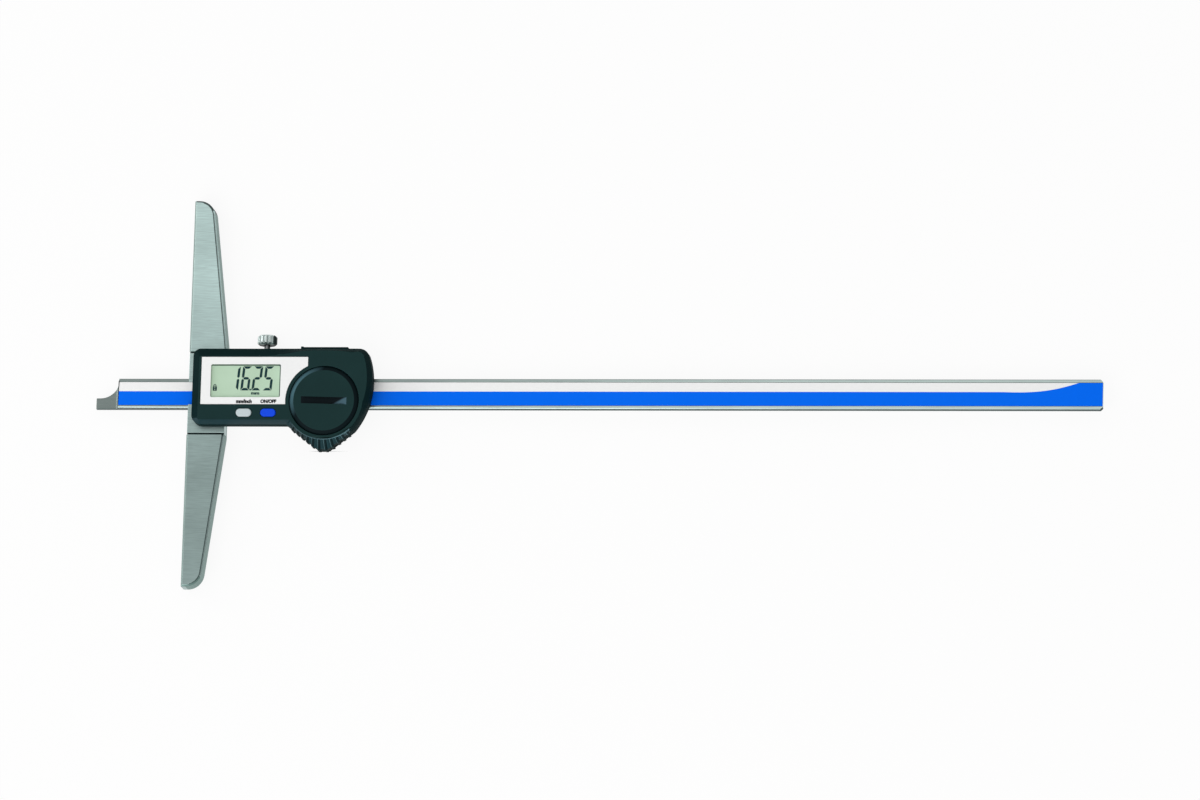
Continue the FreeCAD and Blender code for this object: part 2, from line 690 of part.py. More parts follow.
# Thumb rest ribs
def flank_radius(angle):
    """How far the thumb rest's outline lies from the battery's centre in a given direction."""
    dx, dy = math.cos(math.radians(angle)), math.sin(math.radians(angle))
    best = math.inf
    corners = (THUMB_RIGHT, THUMB_TIP_RIGHT, THUMB_TIP_LEFT, THUMB_LEFT)
    for a, b in zip(corners, corners[1:]):
        ex, ey = b[0] - a[0], b[1] - a[1]
        wx, wy = a[0] - BATTERY_X, a[1] - BATTERY_Y
        cross = dx * ey - dy * ex
        along = (wx * ey - wy * ex) / cross
        share = (wx * dy - wy * dx) / cross
        if along > 0 and 0 <= share <= 1:
            best = min(best, along)
    return best


def thumb_ribs(z0, z1):
    """Radial ribs over the thumb rest's sloping front and its side, between two heights."""
    band = box(HOUSING_SET_IN, HOUSING_RIGHT, THUMB_Y - RIB_HEIGHT - RIB_WIDTH, BATTERY_Y, z0, z1)
    ribs = []
    for index in range(RIB_COUNT):
        angle = RIB_MIDDLE + (index - (RIB_COUNT - 1) / 2) * RIB_PITCH
        out = flank_radius(angle)
        profile = [
            (BOSS_RING, FACE_Z - FIT_GAP),
            (out + RIB_HEIGHT, BEVEL_Z + RIB_TOP_RISE),
            (out + RIB_HEIGHT, FRAME_FACE + RIB_HEIGHT),
            (out, FRAME_FACE),
            (out - RIB_ROOT, FRAME_FACE),
            (out - RIB_ROOT, BEVEL_Z - RIB_ROOT),
            (BOSS_RING, BEVEL_Z),
        ]
        points = [V(r, -RIB_WIDTH / 2, z) for r, z in profile]
        rib = Part.Face(Part.makePolygon(points + points[:1])).extrude(V(0, RIB_WIDTH, 0))
        rib.rotate(V(0, 0, 0), V(0, 0, 1), angle)
        rib.translate(V(BATTERY_X, BATTERY_Y, 0))
        ribs.append(rib.common(band))
    return ribs


# Housing
def cavity_outline(shy, corner):
    """The housing's inside in plan, drawn in all round by a given amount."""
    return rounded_rectangle(
        CAVITY_LEFT + shy, CAVITY_RIGHT - shy, CAVITY_BOTTOM + shy, CAVITY_TOP - shy, corner
    )


def housing_rear():
    """The rear shell: a floor on the frame, a tongue for the front shell, and the back of the thumb rest."""
    shell = prism(outer_outline(), FRAME_FACE, PARTING_Z)
    shell = shell.cut(prism(cavity_outline(0, CAVITY_CORNER), FLOOR_TOP, PARTING_Z))
    tongue_top = PARTING_Z + TONGUE_HEIGHT
    lip = prism(cavity_outline(SLIDE_GAP, CAVITY_CORNER), FLOOR_TOP, tongue_top)
    lip = lip.cut(prism(cavity_outline(SLIDE_GAP + TONGUE_THICK, CAVITY_CORNER / 2), FLOOR_TOP, tongue_top))
    parts = [lip] + thumb_ribs(FRAME_FACE, PARTING_Z)
    half = BOSS_WIDTH / 2
    parts += [box(x - half, x + half, y - half, y + half, FLOOR_TOP, BOARD_BACK) for x, y in HOUSING_SCREWS]
    shell = shell.fuse(parts).removeSplitter()
    hole_top = housing_screw_end() + FIT_GAP
    shell = shell.cut(stud_holes(HOUSING_SCREWS, SMALL_SCREW_RADIUS, FRAME_FACE, hole_top))
    shell = shell.cut(pin_window(FRAME_FACE, FLOOR_TOP))
    return shell.cut(wiper_pocket())


def housing_screw_end():
    return BOARD_BACK - HOUSING_SCREW_SHY


def housing_screws():
    return studs(HOUSING_SCREWS, SMALL_SCREW_RADIUS, housing_screw_end())


def pickup_left():
    return BRIDGE_ROOT_WIDTH + 2 * FRAME_CORNER


def pin_places():
    middle = pickup_left() + PICKUP_LENGTH / 2
    return [middle + (i - (PICKUP_PINS - 1) / 2) * PIN_PITCH for i in range(PICKUP_PINS)]


def pin_window(z0, z1):
    places = pin_places()
    m = PIN_WINDOW_MARGIN
    return box(places[0] - m, places[-1] + m, -m, m, z0, z1)


def wiper_pocket():
    """The opening in the housing's left wall that holds the wiper."""
    x1 = HOUSING_SET_IN - WIPER_STAND_OUT + WIPER_THICK + SLIDE_GAP
    top = FRAME_FACE + WIPER_HEIGHT + SLIDE_GAP
    return box(0, x1, -WIPER_LOW - SLIDE_GAP, WIPER_HIGH + SLIDE_GAP, FRAME_FACE, top)


def beam_wiper():
    """The wiper in the left wall, with a tongue that reaches down to the beam's label."""
    x0 = HOUSING_SET_IN - WIPER_STAND_OUT
    head = box(x0, x0 + WIPER_THICK, -WIPER_LOW, WIPER_HIGH, FRAME_FACE, FRAME_FACE + WIPER_HEIGHT)
    edges = [e for e in head.Edges if abs(e.CenterOfMass.x - x0) < SLIDE_GAP and e.Length > WIPER_THICK]
    head = head.makeFillet(WIPER_STAND_OUT, edges)
    tongue_x = x0 + (WIPER_THICK - WIPER_TONGUE_THICK) / 2
    half = LIP_EDGE - FIT_GAP
    bottom = BEAM_FACE - LABEL_SINK + WIPER_RUB
    tongue = box(tongue_x, tongue_x + WIPER_TONGUE_THICK, -half, half, bottom, FRAME_FACE)
    return head.fuse(tongue).removeSplitter()


def label_outline(grow):
    """The front label: a plain rectangle whose lower right is cut away round the battery cover."""
    left, right = LABEL_LEFT - grow, LABEL_RIGHT + grow
    low, top = LABEL_BOTTOM - grow, LABEL_TOP + grow
    r = BOSS_RING - grow
    cut_low = BATTERY_X - math.sqrt(r**2 - (low - BATTERY_Y) ** 2)
    cut_high = BATTERY_Y + math.sqrt(r**2 - (right - BATTERY_X) ** 2)
    a0 = angle_at(BATTERY_X, BATTERY_Y, (cut_low, low)) % 360
    a1 = angle_at(BATTERY_X, BATTERY_Y, (right, cut_high))
    steps = [
        (cut_low, low),
        arc_on(BATTERY_X, BATTERY_Y, r, a0, a1),
        (right, top),
        (left, top),
        (left, low),
    ]
    return face_from((left, low), steps)


def window_outline(grow):
    return rounded_rectangle(
        WINDOW_LEFT - grow, WINDOW_RIGHT + grow, WINDOW_BOTTOM - grow, WINDOW_TOP + grow, WINDOW_CORNER
    )


def front_label():
    top = FACE_Z - SLIDE_GAP
    plate = prism(label_outline(0), top - FRONT_LABEL_THICK, top)
    return plate.cut(prism(window_outline(0), top - FRONT_LABEL_THICK, top))


def cover_seat():
    """The space in the front shell for the battery, the cover, its lugs and their turning."""
    x, y = BATTERY_X, BATTERY_Y
    seat = post(x, y, LUG_OUT + COVER_GAP, BOARD_TOP, LEDGE_UNDER)
    seat = seat.fuse(post(x, y, LEG_OUT + COVER_GAP, LEDGE_UNDER, LEDGE_TOP))
    seat = seat.fuse(post(x, y, COVER_RADIUS + COVER_GAP, LEDGE_TOP, FACE_Z))
    for index in range(LUG_COUNT):
        middle = LUG_START + UNLOCK_ANGLE + index * 360 / LUG_COUNT
        notch = sector(x, y, LUG_OUT + COVER_GAP, LEDGE_UNDER, LEDGE_TOP, middle, LUG_ANGLE + 2 * NOTCH_SPARE)
        seat = seat.fuse(notch)
    return seat


def port_groove(x0, x1, spare):
    """A dovetail along the top wall, wider at its bottom."""
    narrow, wide = PORT_TONGUE_NARROW / 2 + spare, PORT_TONGUE_WIDE / 2 + spare
    deep = HOUSING_TOP - PORT_TONGUE_DEPTH - spare
    points = [
        V(x0, HOUSING_TOP, PORT_Z - narrow),
        V(x0, HOUSING_TOP, PORT_Z + narrow),
        V(x0, deep, PORT_Z + wide),
        V(x0, deep, PORT_Z - wide),
    ]
    return Part.Face(Part.makePolygon(points + points[:1])).extrude(V(x1 - x0, 0, 0))


def port_middle():
    return (PORT_LEFT + PORT_RIGHT) / 2


def port_opening():
    x0 = port_middle() - PORT_OPENING_LENGTH / 2
    z0 = PORT_Z - PORT_OPENING_HEIGHT / 2
    return box(x0, x0 + PORT_OPENING_LENGTH, CAVITY_TOP, HOUSING_TOP, z0, z0 + PORT_OPENING_HEIGHT)


def housing_front():
    """The front shell: bevelled face, recess, window, button holes, battery seat and ribbed thumb rest."""
    shell = prism(outer_outline(), PARTING_Z, BEVEL_Z)
    bevel = Part.makeLoft([outer_outline(BEVEL_Z).OuterWire, face_outline(FACE_Z).OuterWire], True, True)
    shell = shell.fuse([bevel] + thumb_ribs(PARTING_Z, FACE_Z)).removeSplitter()
    low_cavity = prism(cavity_outline(0, CAVITY_CORNER), PARTING_Z, GLASS_BACK)
    high = rounded_rectangle(LABEL_LEFT, BATTERY_X - WELL_OUT, CAVITY_BOTTOM, LABEL_TOP, CAVITY_CORNER)
    high_cavity = prism(high, GLASS_BACK, WALL_INSIDE)
    shell = shell.cut(low_cavity.fuse(high_cavity))
    shell = shell.cut(cover_seat())
    shell = shell.cut(prism(label_outline(SLIDE_GAP), FACE_Z - FRONT_LABEL_THICK - SLIDE_GAP, FACE_Z))
    shell = shell.cut(prism(window_outline(0), WALL_INSIDE, FACE_Z))
    for x, y in BUTTON_PLACES:
        hole = stadium(x, y, BUTTON_LENGTH + 2 * FIT_GAP, BUTTON_WIDTH + 2 * FIT_GAP)
        shell = shell.cut(prism(hole, WALL_INSIDE, FACE_Z))
    shell = shell.cut(port_groove(PORT_LEFT - PORT_TRAVEL - FIT_GAP, PORT_RIGHT + FIT_GAP, SLIDE_GAP))
    shell = shell.cut(port_opening())
    return shell.cut(wiper_pocket())


# Display
def display_window():
    """The clear lens: a plug in the window and a flange behind the wall."""
    plug = prism(window_outline(-SLIDE_GAP), WALL_INSIDE, FACE_Z - LENS_SINK)
    flange = prism(window_outline(LENS_LAP), WALL_INSIDE - LENS_FLANGE, WALL_INSIDE)
    return plug.fuse(flange).removeSplitter()


def round_window(lap, z0, z1):
    """A block that stands past the window's opening by a given lap on every side."""
    return box(WINDOW_LEFT - lap, WINDOW_RIGHT + lap, WINDOW_BOTTOM - lap, WINDOW_TOP + lap, z0, z1)


def display_glass():
    return round_window(GLASS_LAP, GLASS_BACK, GLASS_TOP)


def display_holder():
    """The frame round the display glass, standing on the main board."""
    inside = round_window(GLASS_LAP + SLIDE_GAP, BOARD_TOP, GLASS_TOP)
    return round_window(GLASS_LAP + SLIDE_GAP + HOLDER_WALL, BOARD_TOP, GLASS_TOP).cut(inside)


def display_connectors():
    """Two rubber connector strips between the board and the glass."""
    strips = []
    for y in (WINDOW_BOTTOM - GLASS_LAP, WINDOW_TOP + GLASS_LAP - ZEBRA_WIDTH):
        strips.append(box(WINDOW_LEFT, WINDOW_RIGHT, y, y + ZEBRA_WIDTH, BOARD_TOP, GLASS_BACK))
    return Part.makeCompound(strips)


# Boards and their parts
def main_board():
    """The circuit board on the rear shell's bosses, inside the tongue."""
    outline = cavity_outline(SLIDE_GAP + TONGUE_THICK + BOARD_SHY, CAVITY_CORNER)
    return prism(outline, BOARD_BACK, BOARD_TOP)


def pickup_board():
    """The sensor board between the lips, just above the beam's label."""
    half = LIP_EDGE - FIT_GAP
    z0 = BEAM_FACE + PICKUP_GAP
    return box(pickup_left(), pickup_left() + PICKUP_LENGTH, -half, half, z0, z0 + PICKUP_THICK)


def pickup_pins():
    """A row of pins that joins the two boards."""
    half = PIN_SIZE / 2
    z0 = BEAM_FACE + PICKUP_GAP + PICKUP_THICK
    return Part.makeCompound([box(x - half, x + half, -half, half, z0, BOARD_BACK) for x in pin_places()])


def button_switches():
    """Dome switches on the board, one under each button."""
    half, dome_half = SWITCH_SIZE / 2, SWITCH_DOME_WIDTH / 2
    switches = []
    for x, y in BUTTON_PLACES:
        base = box(x - half, x + half, y - half, y + half, BOARD_TOP, BOARD_TOP + SWITCH_HEIGHT)
        low = BOARD_TOP + SWITCH_HEIGHT
        dome = box(x - dome_half, x + dome_half, y - dome_half, y + dome_half, low, switch_top())
        switches.append(base.fuse(dome).removeSplitter())
    return Part.makeCompound(switches)


def switch_top():
    return BOARD_TOP + SWITCH_HEIGHT + SWITCH_DOME_HEIGHT


def processor_chip():
    x = WINDOW_RIGHT + GLASS_LAP + HOLDER_WALL + CHIP_FROM_HOLDER + CHIP_SIZE / 2
    y = WINDOW_TOP
    half = CHIP_SIZE / 2
    return box(x - half, x + half, y - half, y + half, BOARD_TOP, BOARD_TOP + CHIP_HEIGHT)


def quartz_crystal():
    x = port_middle() - CRYSTAL_LENGTH / 2
    y = BATTERY_Y + LUG_OUT + SIDE_WALL
    return box(x, x + CRYSTAL_LENGTH, y, y + CRYSTAL_WIDTH, BOARD_TOP, BOARD_TOP + CRYSTAL_HEIGHT)


def data_port_contacts():
    """The contact block behind the port opening."""
    half = PORT_OPENING_LENGTH / 2
    z_half = PORT_OPENING_HEIGHT / 2
    y1 = CAVITY_TOP - FIT_GAP
    base = CAVITY_TOP - SLIDE_GAP - TONGUE_THICK - BOARD_SHY
    x0, x1 = port_middle() - half, port_middle() + half
    body = box(x0, x1, base - PORT_BODY_DEPTH, y1, BOARD_TOP, PORT_Z + z_half)
    pads = []
    for i in range(PORT_CONTACTS):
        x = port_middle() + (i - (PORT_CONTACTS - 1) / 2) * 2 * PORT_CONTACT_WIDTH
        w = PORT_CONTACT_WIDTH / 2
        pads.append(box(x - w, x + w, y1, y1 + SIDE_WALL / 2, PORT_Z - z_half / 2, PORT_Z + z_half / 2))
    return body.fuse(pads).removeSplitter()


# Buttons
def button(x, y):
    """A bevelled cap, a flange that keeps it in the shell, and a stem over its switch."""
    top = FACE_Z + BUTTON_STAND
    cap = prism(stadium(x, y, BUTTON_LENGTH, BUTTON_WIDTH), WALL_INSIDE - SLIDE_GAP, top)
    rim = [e for e in cap.Edges if abs(e.BoundBox.ZMin - top) < FIT_GAP / 2]
    cap = cap.makeChamfer(BUTTON_BEVEL, rim)
    flange_top = WALL_INSIDE - SLIDE_GAP
    half_x, half_y = BUTTON_LENGTH / 2 + BUTTON_FLANGE_LAP, BUTTON_WIDTH / 2 + BUTTON_FLANGE_LAP
    flange_bottom = flange_top - BUTTON_FLANGE
    flange = box(x - half_x, x + half_x, y - half_y, y + half_y, flange_bottom, flange_top)
    half = BUTTON_STEM_WIDTH / 2
    stem_bottom = switch_top() + BUTTON_TRAVEL + SLIDE_GAP
    stem = box(x - half, x + half, y - half, y + half, stem_bottom, flange_bottom)
    return cap.fuse([flange, stem]).removeSplitter()


# Battery
def battery_cell():
    return post(BATTERY_X, BATTERY_Y, BATTERY_RADIUS, CELL_BACK, CELL_TOP)


def battery_contact_negative():
    half_x, half_y = BATTERY_RADIUS / 2, BATTERY_RADIUS / 4
    x, y = BATTERY_X, BATTERY_Y
    return box(x - half_x, x + half_x, y - half_y, y + half_y, BOARD_TOP, CELL_BACK)


def battery_contact_positive():
    """A curved spring against the rim of the cell, standing on the board."""
    inner = BATTERY_RADIUS + SLIDE_GAP
    outer = inner + CONTACT_THICK
    top = CELL_TOP - BATTERY_THICK / 2
    strip = sector(BATTERY_X, BATTERY_Y, outer, BOARD_TOP, top, POSITIVE_CONTACT_AT, POSITIVE_CONTACT_ANGLE)
    return strip.cut(post(BATTERY_X, BATTERY_Y, inner, BOARD_TOP, CELL_TOP))


def battery_cover():
    """The round cover: a bevelled disc with a coin slot, and three bayonet legs with lugs."""
    x, y = BATTERY_X, BATTERY_Y
    r = COVER_RADIUS
    profile = [
        (0, COVER_UNDER),
        (r, COVER_UNDER),
        (r, COVER_TOP - COVER_BEVEL_DROP),
        (r - COVER_BEVEL, COVER_TOP),
        (0, COVER_TOP),
    ]
    cover = revolved(x, y, profile)
    legs = []
    for index in range(LUG_COUNT):
        middle = LUG_START + index * 360 / LUG_COUNT
        leg = sector(x, y, LEG_OUT, LUG_BOTTOM, COVER_UNDER, middle, LUG_ANGLE)
        lug = sector(x, y, LUG_OUT, LUG_BOTTOM, LUG_TOP, middle, LUG_ANGLE)
        legs.append(leg.fuse(lug).cut(post(x, y, LEG_IN, LUG_BOTTOM, COVER_UNDER)))
    cover = cover.fuse(legs).removeSplitter()
    half = COIN_SLOT_LENGTH / 2
    cutter_radius = (half**2 + COIN_SLOT_DEPTH**2) / (2 * COIN_SLOT_DEPTH)
    cutter = Part.makeCylinder(
        cutter_radius, COIN_SLOT_WIDTH,
        V(x, y - COIN_SLOT_WIDTH / 2, COVER_TOP - COIN_SLOT_DEPTH + cutter_radius), V(0, 1, 0),
    )
    return cover.cut(cutter)


# Port cover
def port_cover():
    """The sliding cover: a low plate with a finger nub and a dovetail tongue."""
    half = PORT_COVER_DEPTH / 2
    y0 = HOUSING_TOP + SLIDE_GAP
    y1 = y0 + PORT_COVER_HEIGHT
    plate = box(PORT_LEFT, PORT_RIGHT, y0, y1, PORT_Z - half, PORT_Z + half)
    nub = box(PORT_LEFT, PORT_LEFT + PORT_NUB_LENGTH, y0, y1 + PORT_NUB, PORT_Z - half, PORT_Z + half)
    tongue = port_groove(PORT_LEFT, PORT_RIGHT, 0)
    neck = PORT_TONGUE_NARROW / 2
    bridge_piece = box(PORT_LEFT, PORT_RIGHT, HOUSING_TOP, y0, PORT_Z - neck, PORT_Z + neck)
    return plate.fuse([nub, tongue, bridge_piece]).removeSplitter()


PIECES = {
    "beam_rail": beam_rail,
    "scale_strip": scale_strip,
    "scale_label": scale_label,
    "stop_block": stop_block,
    "stop_screw": stop_screw,
    "bridge": bridge,
    "bridge_screws": bridge_screws,
    "slider_frame": slider_frame,
    "gib_strip": gib_strip,
    "gib_screws": gib_screws,
    "lock_screw_pad": lock_screw_pad,
    "lock_screw_shank": lock_screw_shank,
    "lock_screw_knob": lock_screw_knob,
    "housing_rear": housing_rear,
    "housing_front": housing_front,
    "housing_screws": housing_screws,
    "beam_wiper": beam_wiper,
    "front_label": front_label,
    "display_window": display_window,
    "display_glass": display_glass,
    "display_holder": display_holder,
    "display_connectors": display_connectors,
    "main_board": main_board,
    "pickup_board": pickup_board,
    "pickup_pins": pickup_pins,
    "button_switches": button_switches,
    "processor_chip": processor_chip,
    "quartz_crystal": quartz_crystal,
    "data_port_contacts": data_port_contacts,
    "unit_button": lambda: button(*BUTTON_PLACES[0]),
    "power_button": lambda: button(*BUTTON_PLACES[1]),
    "battery_cell": battery_cell,
    "battery_contact_negative": battery_contact_negative,
    "battery_contact_positive": battery_contact_positive,
    "battery_cover": battery_cover,
    "port_cover": port_cover,
}


def main():
    os.makedirs("parts", exist_ok=True)
    for name, make in PIECES.items():
        shape = make()
        shape.exportStep(f"parts/{name}.step")


main()
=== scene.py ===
"""Looks of the digital depth caliper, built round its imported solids.

Sizes and places are in millimetres and become metres through mm(). X runs along the beam, Y along the
bridge, and Z up from the back plane. Angles are in degrees.
"""

import bpy
import bmesh
import json
import math
from mathutils import Matrix, Vector


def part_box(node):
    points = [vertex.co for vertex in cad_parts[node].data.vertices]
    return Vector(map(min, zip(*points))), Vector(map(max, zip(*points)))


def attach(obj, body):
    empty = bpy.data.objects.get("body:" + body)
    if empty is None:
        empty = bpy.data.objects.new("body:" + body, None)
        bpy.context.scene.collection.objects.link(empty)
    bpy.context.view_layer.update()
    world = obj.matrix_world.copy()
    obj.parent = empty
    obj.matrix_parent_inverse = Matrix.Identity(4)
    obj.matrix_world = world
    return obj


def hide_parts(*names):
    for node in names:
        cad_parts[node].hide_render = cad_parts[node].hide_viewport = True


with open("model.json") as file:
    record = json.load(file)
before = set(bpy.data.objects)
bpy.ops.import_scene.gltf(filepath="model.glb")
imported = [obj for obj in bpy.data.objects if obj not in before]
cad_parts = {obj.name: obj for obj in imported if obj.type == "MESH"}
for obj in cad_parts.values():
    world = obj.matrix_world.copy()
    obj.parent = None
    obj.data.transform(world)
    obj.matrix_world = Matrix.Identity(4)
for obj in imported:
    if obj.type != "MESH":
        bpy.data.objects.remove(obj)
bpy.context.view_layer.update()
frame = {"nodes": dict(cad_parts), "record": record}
MM = 0.001

# Edges
STEEL_EDGE = 0.18
MOULDED_EDGE = 0.22
SMALL_EDGE = 0.12
EDGE_SEGMENTS = 2
SHARP_ANGLE = 28.0
ROOM_SHARE = 2.2
SAME_PLACE = 0.002
SAME_PLANE = 0.2
FLAT_FACE_WEIGHT = 80

# How much of a face's normal, of length 1, lies along an axis
WALL_TILT = 0.12
SLOPE_TILT = (0.2, 0.9)
ROUNDING_TILT = (0.8, 0.99)
COVER_TILT = (0.5, 0.99)
OPENING_TILT = 0.5
LEAN = 0.3
BRIDGE_LEAN = 0.35
BEAM_LEAN = 0.15
SHANK_LEAN = 0.4
SLIGHT_LEAN = 0.1
ROUNDING_LEAN = 0.05

# Steel
MEASURING_FACE_END = 1.0
BLOCK_HALF = 16.0
GROOVE_WIDTH = 0.6
GROOVE_DEPTH = 0.55
GROOVE_OVERRUN = 0.1
KNURL_DEPTH = 0.12
KNOB_SHADE_SHARE = 0.72

# Screws on the back, as shares of the head's radius
SCREW_SIDES = 32
HEAD_CHAMFER = 0.14
CROSS_ARM = 0.62
CROSS_HALF = 0.17
CROSS_DEPTH = 0.55
CROSS_ARM_TAPER = 0.7
CROSS_HALF_TAPER = 0.8

# Beam label
STRIPE_TOP = 0.9
STRIPE_FLARE = ((312.0, 0.9), (324.0, 0.45), (331.0, 1.3), (340.4, 4.45))
STRIPE_STEPS = 32
STRIPE_LIFT = 0.02
PRINT_THICK = 0.02

# Housing and battery cover
LEFT_SLOPE_REACH = 4.0
THUMB_START = -143.0
THUMB_END = -48.0
THUMB_INNER = 14.4
THUMB_TOP = 14.85
RIB_PITCH = 8.54
RIB_MIDDLE = -95.4
RIB_SPREAD = 4.0
RIB_LINE_WIDTH = 0.25
COVER_SLOPE_START = 11.6
SLOT_HALF_LENGTH = 8.8
SLOT_HALF_WIDTH = 1.4
SLOT_DEPTH = 1.3
SLOT_SKIN = 0.02
OPENING_DEPTH = 1.1
OPENING_MARGIN = 0.1

# Display
READING = "1625"
SEGMENTS = {"1": "bc", "6": "acdefg", "2": "abdeg", "5": "acdfg"}
DIGIT_HEIGHT = 9.35
DIGIT_WIDTH = 3.45
DIGIT_STROKE = 0.95
DIGIT_GAP = 0.13
DIGIT_PITCH = 4.31
DIGIT_SLANT = 5.2
DIGIT_BOTTOM = -0.5
LAST_DIGIT_LEFT = 30.08
DECIMAL_SIZE = 0.6
SHADE_WIDTH = 0.4
CORNER_SHADE = 0.6
PICTURE_DEPTH = 0.4
PICTURE_THICK = 0.3
WINDOW_LAP = 1.05
PADLOCK_PLACE = (10.9, -0.65)
PADLOCK_SIZE = (1.55, 1.65)
KEYHOLE_HALF = 0.14
SHACKLE_OUTER = 0.58
SHACKLE_INNER = 0.25
SHACKLE_RISE = 0.3
SHACKLE_STEPS = 12

# Words
WORDS_Y = -4.85
WORDS_WEIGHT = 0.066
BUTTON_WORDS = (
    ("unit_words", "mm/inch", "unit_button", (6.1, 1.6)),
    ("power_words", "ON/OFF", "power_button", (6.15, 1.45)),
)
UNIT_WEIGHT = 0.055
UNIT_PLACE = (27.3, -1.68)
UNIT_SIZE = (3.2, 0.9)
LETTER_STEPS = 6

# Sizes of the patterns in the materials
GRIND_FINE = 0.13
GRIND_BROAD = 0.35
CLOUD_SIZE = 22.0
PEEL_SIZE = 0.6
GRAIN_SIZE = 0.22
GRAIN_HEIGHT = 0.012
SLOW_TONE_SIZE = 14.0
MOTTLE_SIZE = 1.2
RIPPLE_SIZE = (9.0, 5.0, 5.0)
TOOTH_SIZE = 0.18
PANEL_TONE_SIZE = 9.0
HAIRLINE_SIZE = (18.0, 0.25, 0.25)
WEAVE_SIZE = 0.5
VARNISH_SIZE = 1.0

# Light
SKY_RING = (
    (0.0, (0.18, 0.18, 0.18, 1)),
    (0.35, (1.02, 1.01, 1.0, 1)),
    (0.7, (1.08, 1.07, 1.06, 1)),
    (1.0, (0.72, 0.72, 0.72, 1)),
)
SKY_LEFT = 1.05
SKY_RIGHT = 0.5
LAMPS = (
    ("key", (-500.0, -1150.0, 1000.0), 1800.0, 12.5),
    ("rim", (-1200.0, 620.0, 450.0), 400.0, 3.5),
)
LAMP_AIM = (60.0, 0.0, 5.0)
FLOOR_HALF = 6000.0
FLOOR_LEVEL = -0.05
FLOOR_TONE = 0.9
FLOOR_ROUGHNESS = 0.9
FLOOR_GLOW = 0.9

# Camera
CAMERA_AZIMUTH = 35.057
CAMERA_ELEVATION = 75.688
CAMERA_DISTANCE = 4206.7
CAMERA_TARGET = (158.38, -2.22, 5.0)
CAMERA_LENS = 333.09
CAMERA_SENSOR = 36.0
CAMERA_REACH = 30000.0
CAMERA_ROLL = 0.06589


# Units and colours
def mm(*values):
    """Millimetres as metres: one number, or a vector of several."""
    if len(values) == 1:
        return values[0] * MM
    return Vector(values) * MM


def srgb(red, green, blue):
    """A colour as a screen shows it, from 0 to 255, as the linear values that a shader takes."""
    shares = [value / 255 for value in (red, green, blue)]
    return [s / 12.92 if s <= 0.04045 else ((s + 0.055) / 1.055) ** 2.4 for s in shares] + [1.0]


def grey(value):
    """A colour with the same linear value in all channels."""
    return [value] * 3 + [1.0]


def tint(colour, factor):
    """A colour made lighter or darker."""
    return [min(channel * factor, 1.0) for channel in colour[:3]] + [1.0]


def node_box(name):
    """A node's lowest and highest corners in millimetres."""
    low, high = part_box(name)
    return low / MM, high / MM


BRIDGE_HIGH = node_box("bridge")[1]
HOUSING_LEFT = node_box("housing_front")[0].x
COVER_LOW, COVER_HIGH = node_box("battery_cover")
COVER_MIDDLE = (COVER_LOW + COVER_HIGH) / 2

# The lens's plug, which fills the window's opening, and the level of the picture just under its face
LENS_LOW, LENS_HIGH = node_box("display_window")
WINDOW_LOW = LENS_LOW + Vector((WINDOW_LAP, WINDOW_LAP, 0.0))
WINDOW_HIGH = LENS_HIGH - Vector((WINDOW_LAP, WINDOW_LAP, 0.0))
PICTURE_TOP = LENS_HIGH.z - PICTURE_DEPTH


def fade_over_cover(direction, start, end, loss):
    """A fade whose two distances are measured from the battery cover's middle."""
    middle = Vector(direction).dot(COVER_MIDDLE)
    return (direction, middle + start, middle + end, loss)


# Painted shade and highlights: fades of a tone, each with a direction, two distances and the loss at
# the first
# Painted shade: the bridge's steel darker towards its lower end
BRIDGE_SHADE_FADES = (((0, 1, 0), -30, 45, 0.44),)
# Painted shade on the beam: darker towards the left, on its tip, and on its top margin
BEAM_LEFT_SHADE = ((1, 0, 0), 40, 200, 0.5)
BEAM_TIP_SHADE = ((1, 0, 0), -27.6, -27.2, 0.3)
BEAM_TOP_MARGIN_SHADE = ((0, -1, 0), -6.0, -4.4, 0.3)
# Painted shade: the knob's inner face darker towards the back plane
KNOB_FACE_SHADE_FADES = (((0, 0, 1), 4.0, 6.4, 0.97),)
# Painted shade: the thumb rest darker towards the left
THUMB_SHADE_FADES = (fade_over_cover((1, 0, 0), -8, 9, 0.55),)
# Painted highlight: the battery cover's slope lit only towards its upper left
COVER_HIGHLIGHT_FADES = (fade_over_cover((-0.87, 0.5, 0.0), 6.5, 12.5, 0.93),)
# Painted light and shadow: the coin slot lit only past a slanting shadow edge at its right end
SLOT_SHADOW_EDGE = (fade_over_cover((0.48, -0.877, 0.0), 2.5, 3.2, 0.93),)

# The thumb rest's painted light and shade across a rib, and the painted highlight line above the ribs
RIB_HIGHLIGHT_LINE = srgb(96, 130, 138)
RIB_LIGHT_AND_SHADE = (
    (0.0, srgb(40, 74, 80)),
    (0.34, srgb(34, 64, 70)),
    (0.36, srgb(96, 132, 138)),
    (0.39, srgb(96, 132, 138)),
    (0.42, srgb(24, 50, 54)),
    (0.62, srgb(15, 36, 40)),
    (0.68, srgb(40, 74, 80)),
    (1.0, srgb(40, 74, 80)),
)


# Materials
def fill_ramp(ramp, stops):
    """Gives a colour ramp its stops, each a position and a colour."""
    first, last = ramp.color_ramp.elements
    first.position, first.color = stops[0]
    last.position, last.color = stops[-1]
    for position, colour in stops[1:-1]:
        ramp.color_ramp.elements.new(position).color = colour


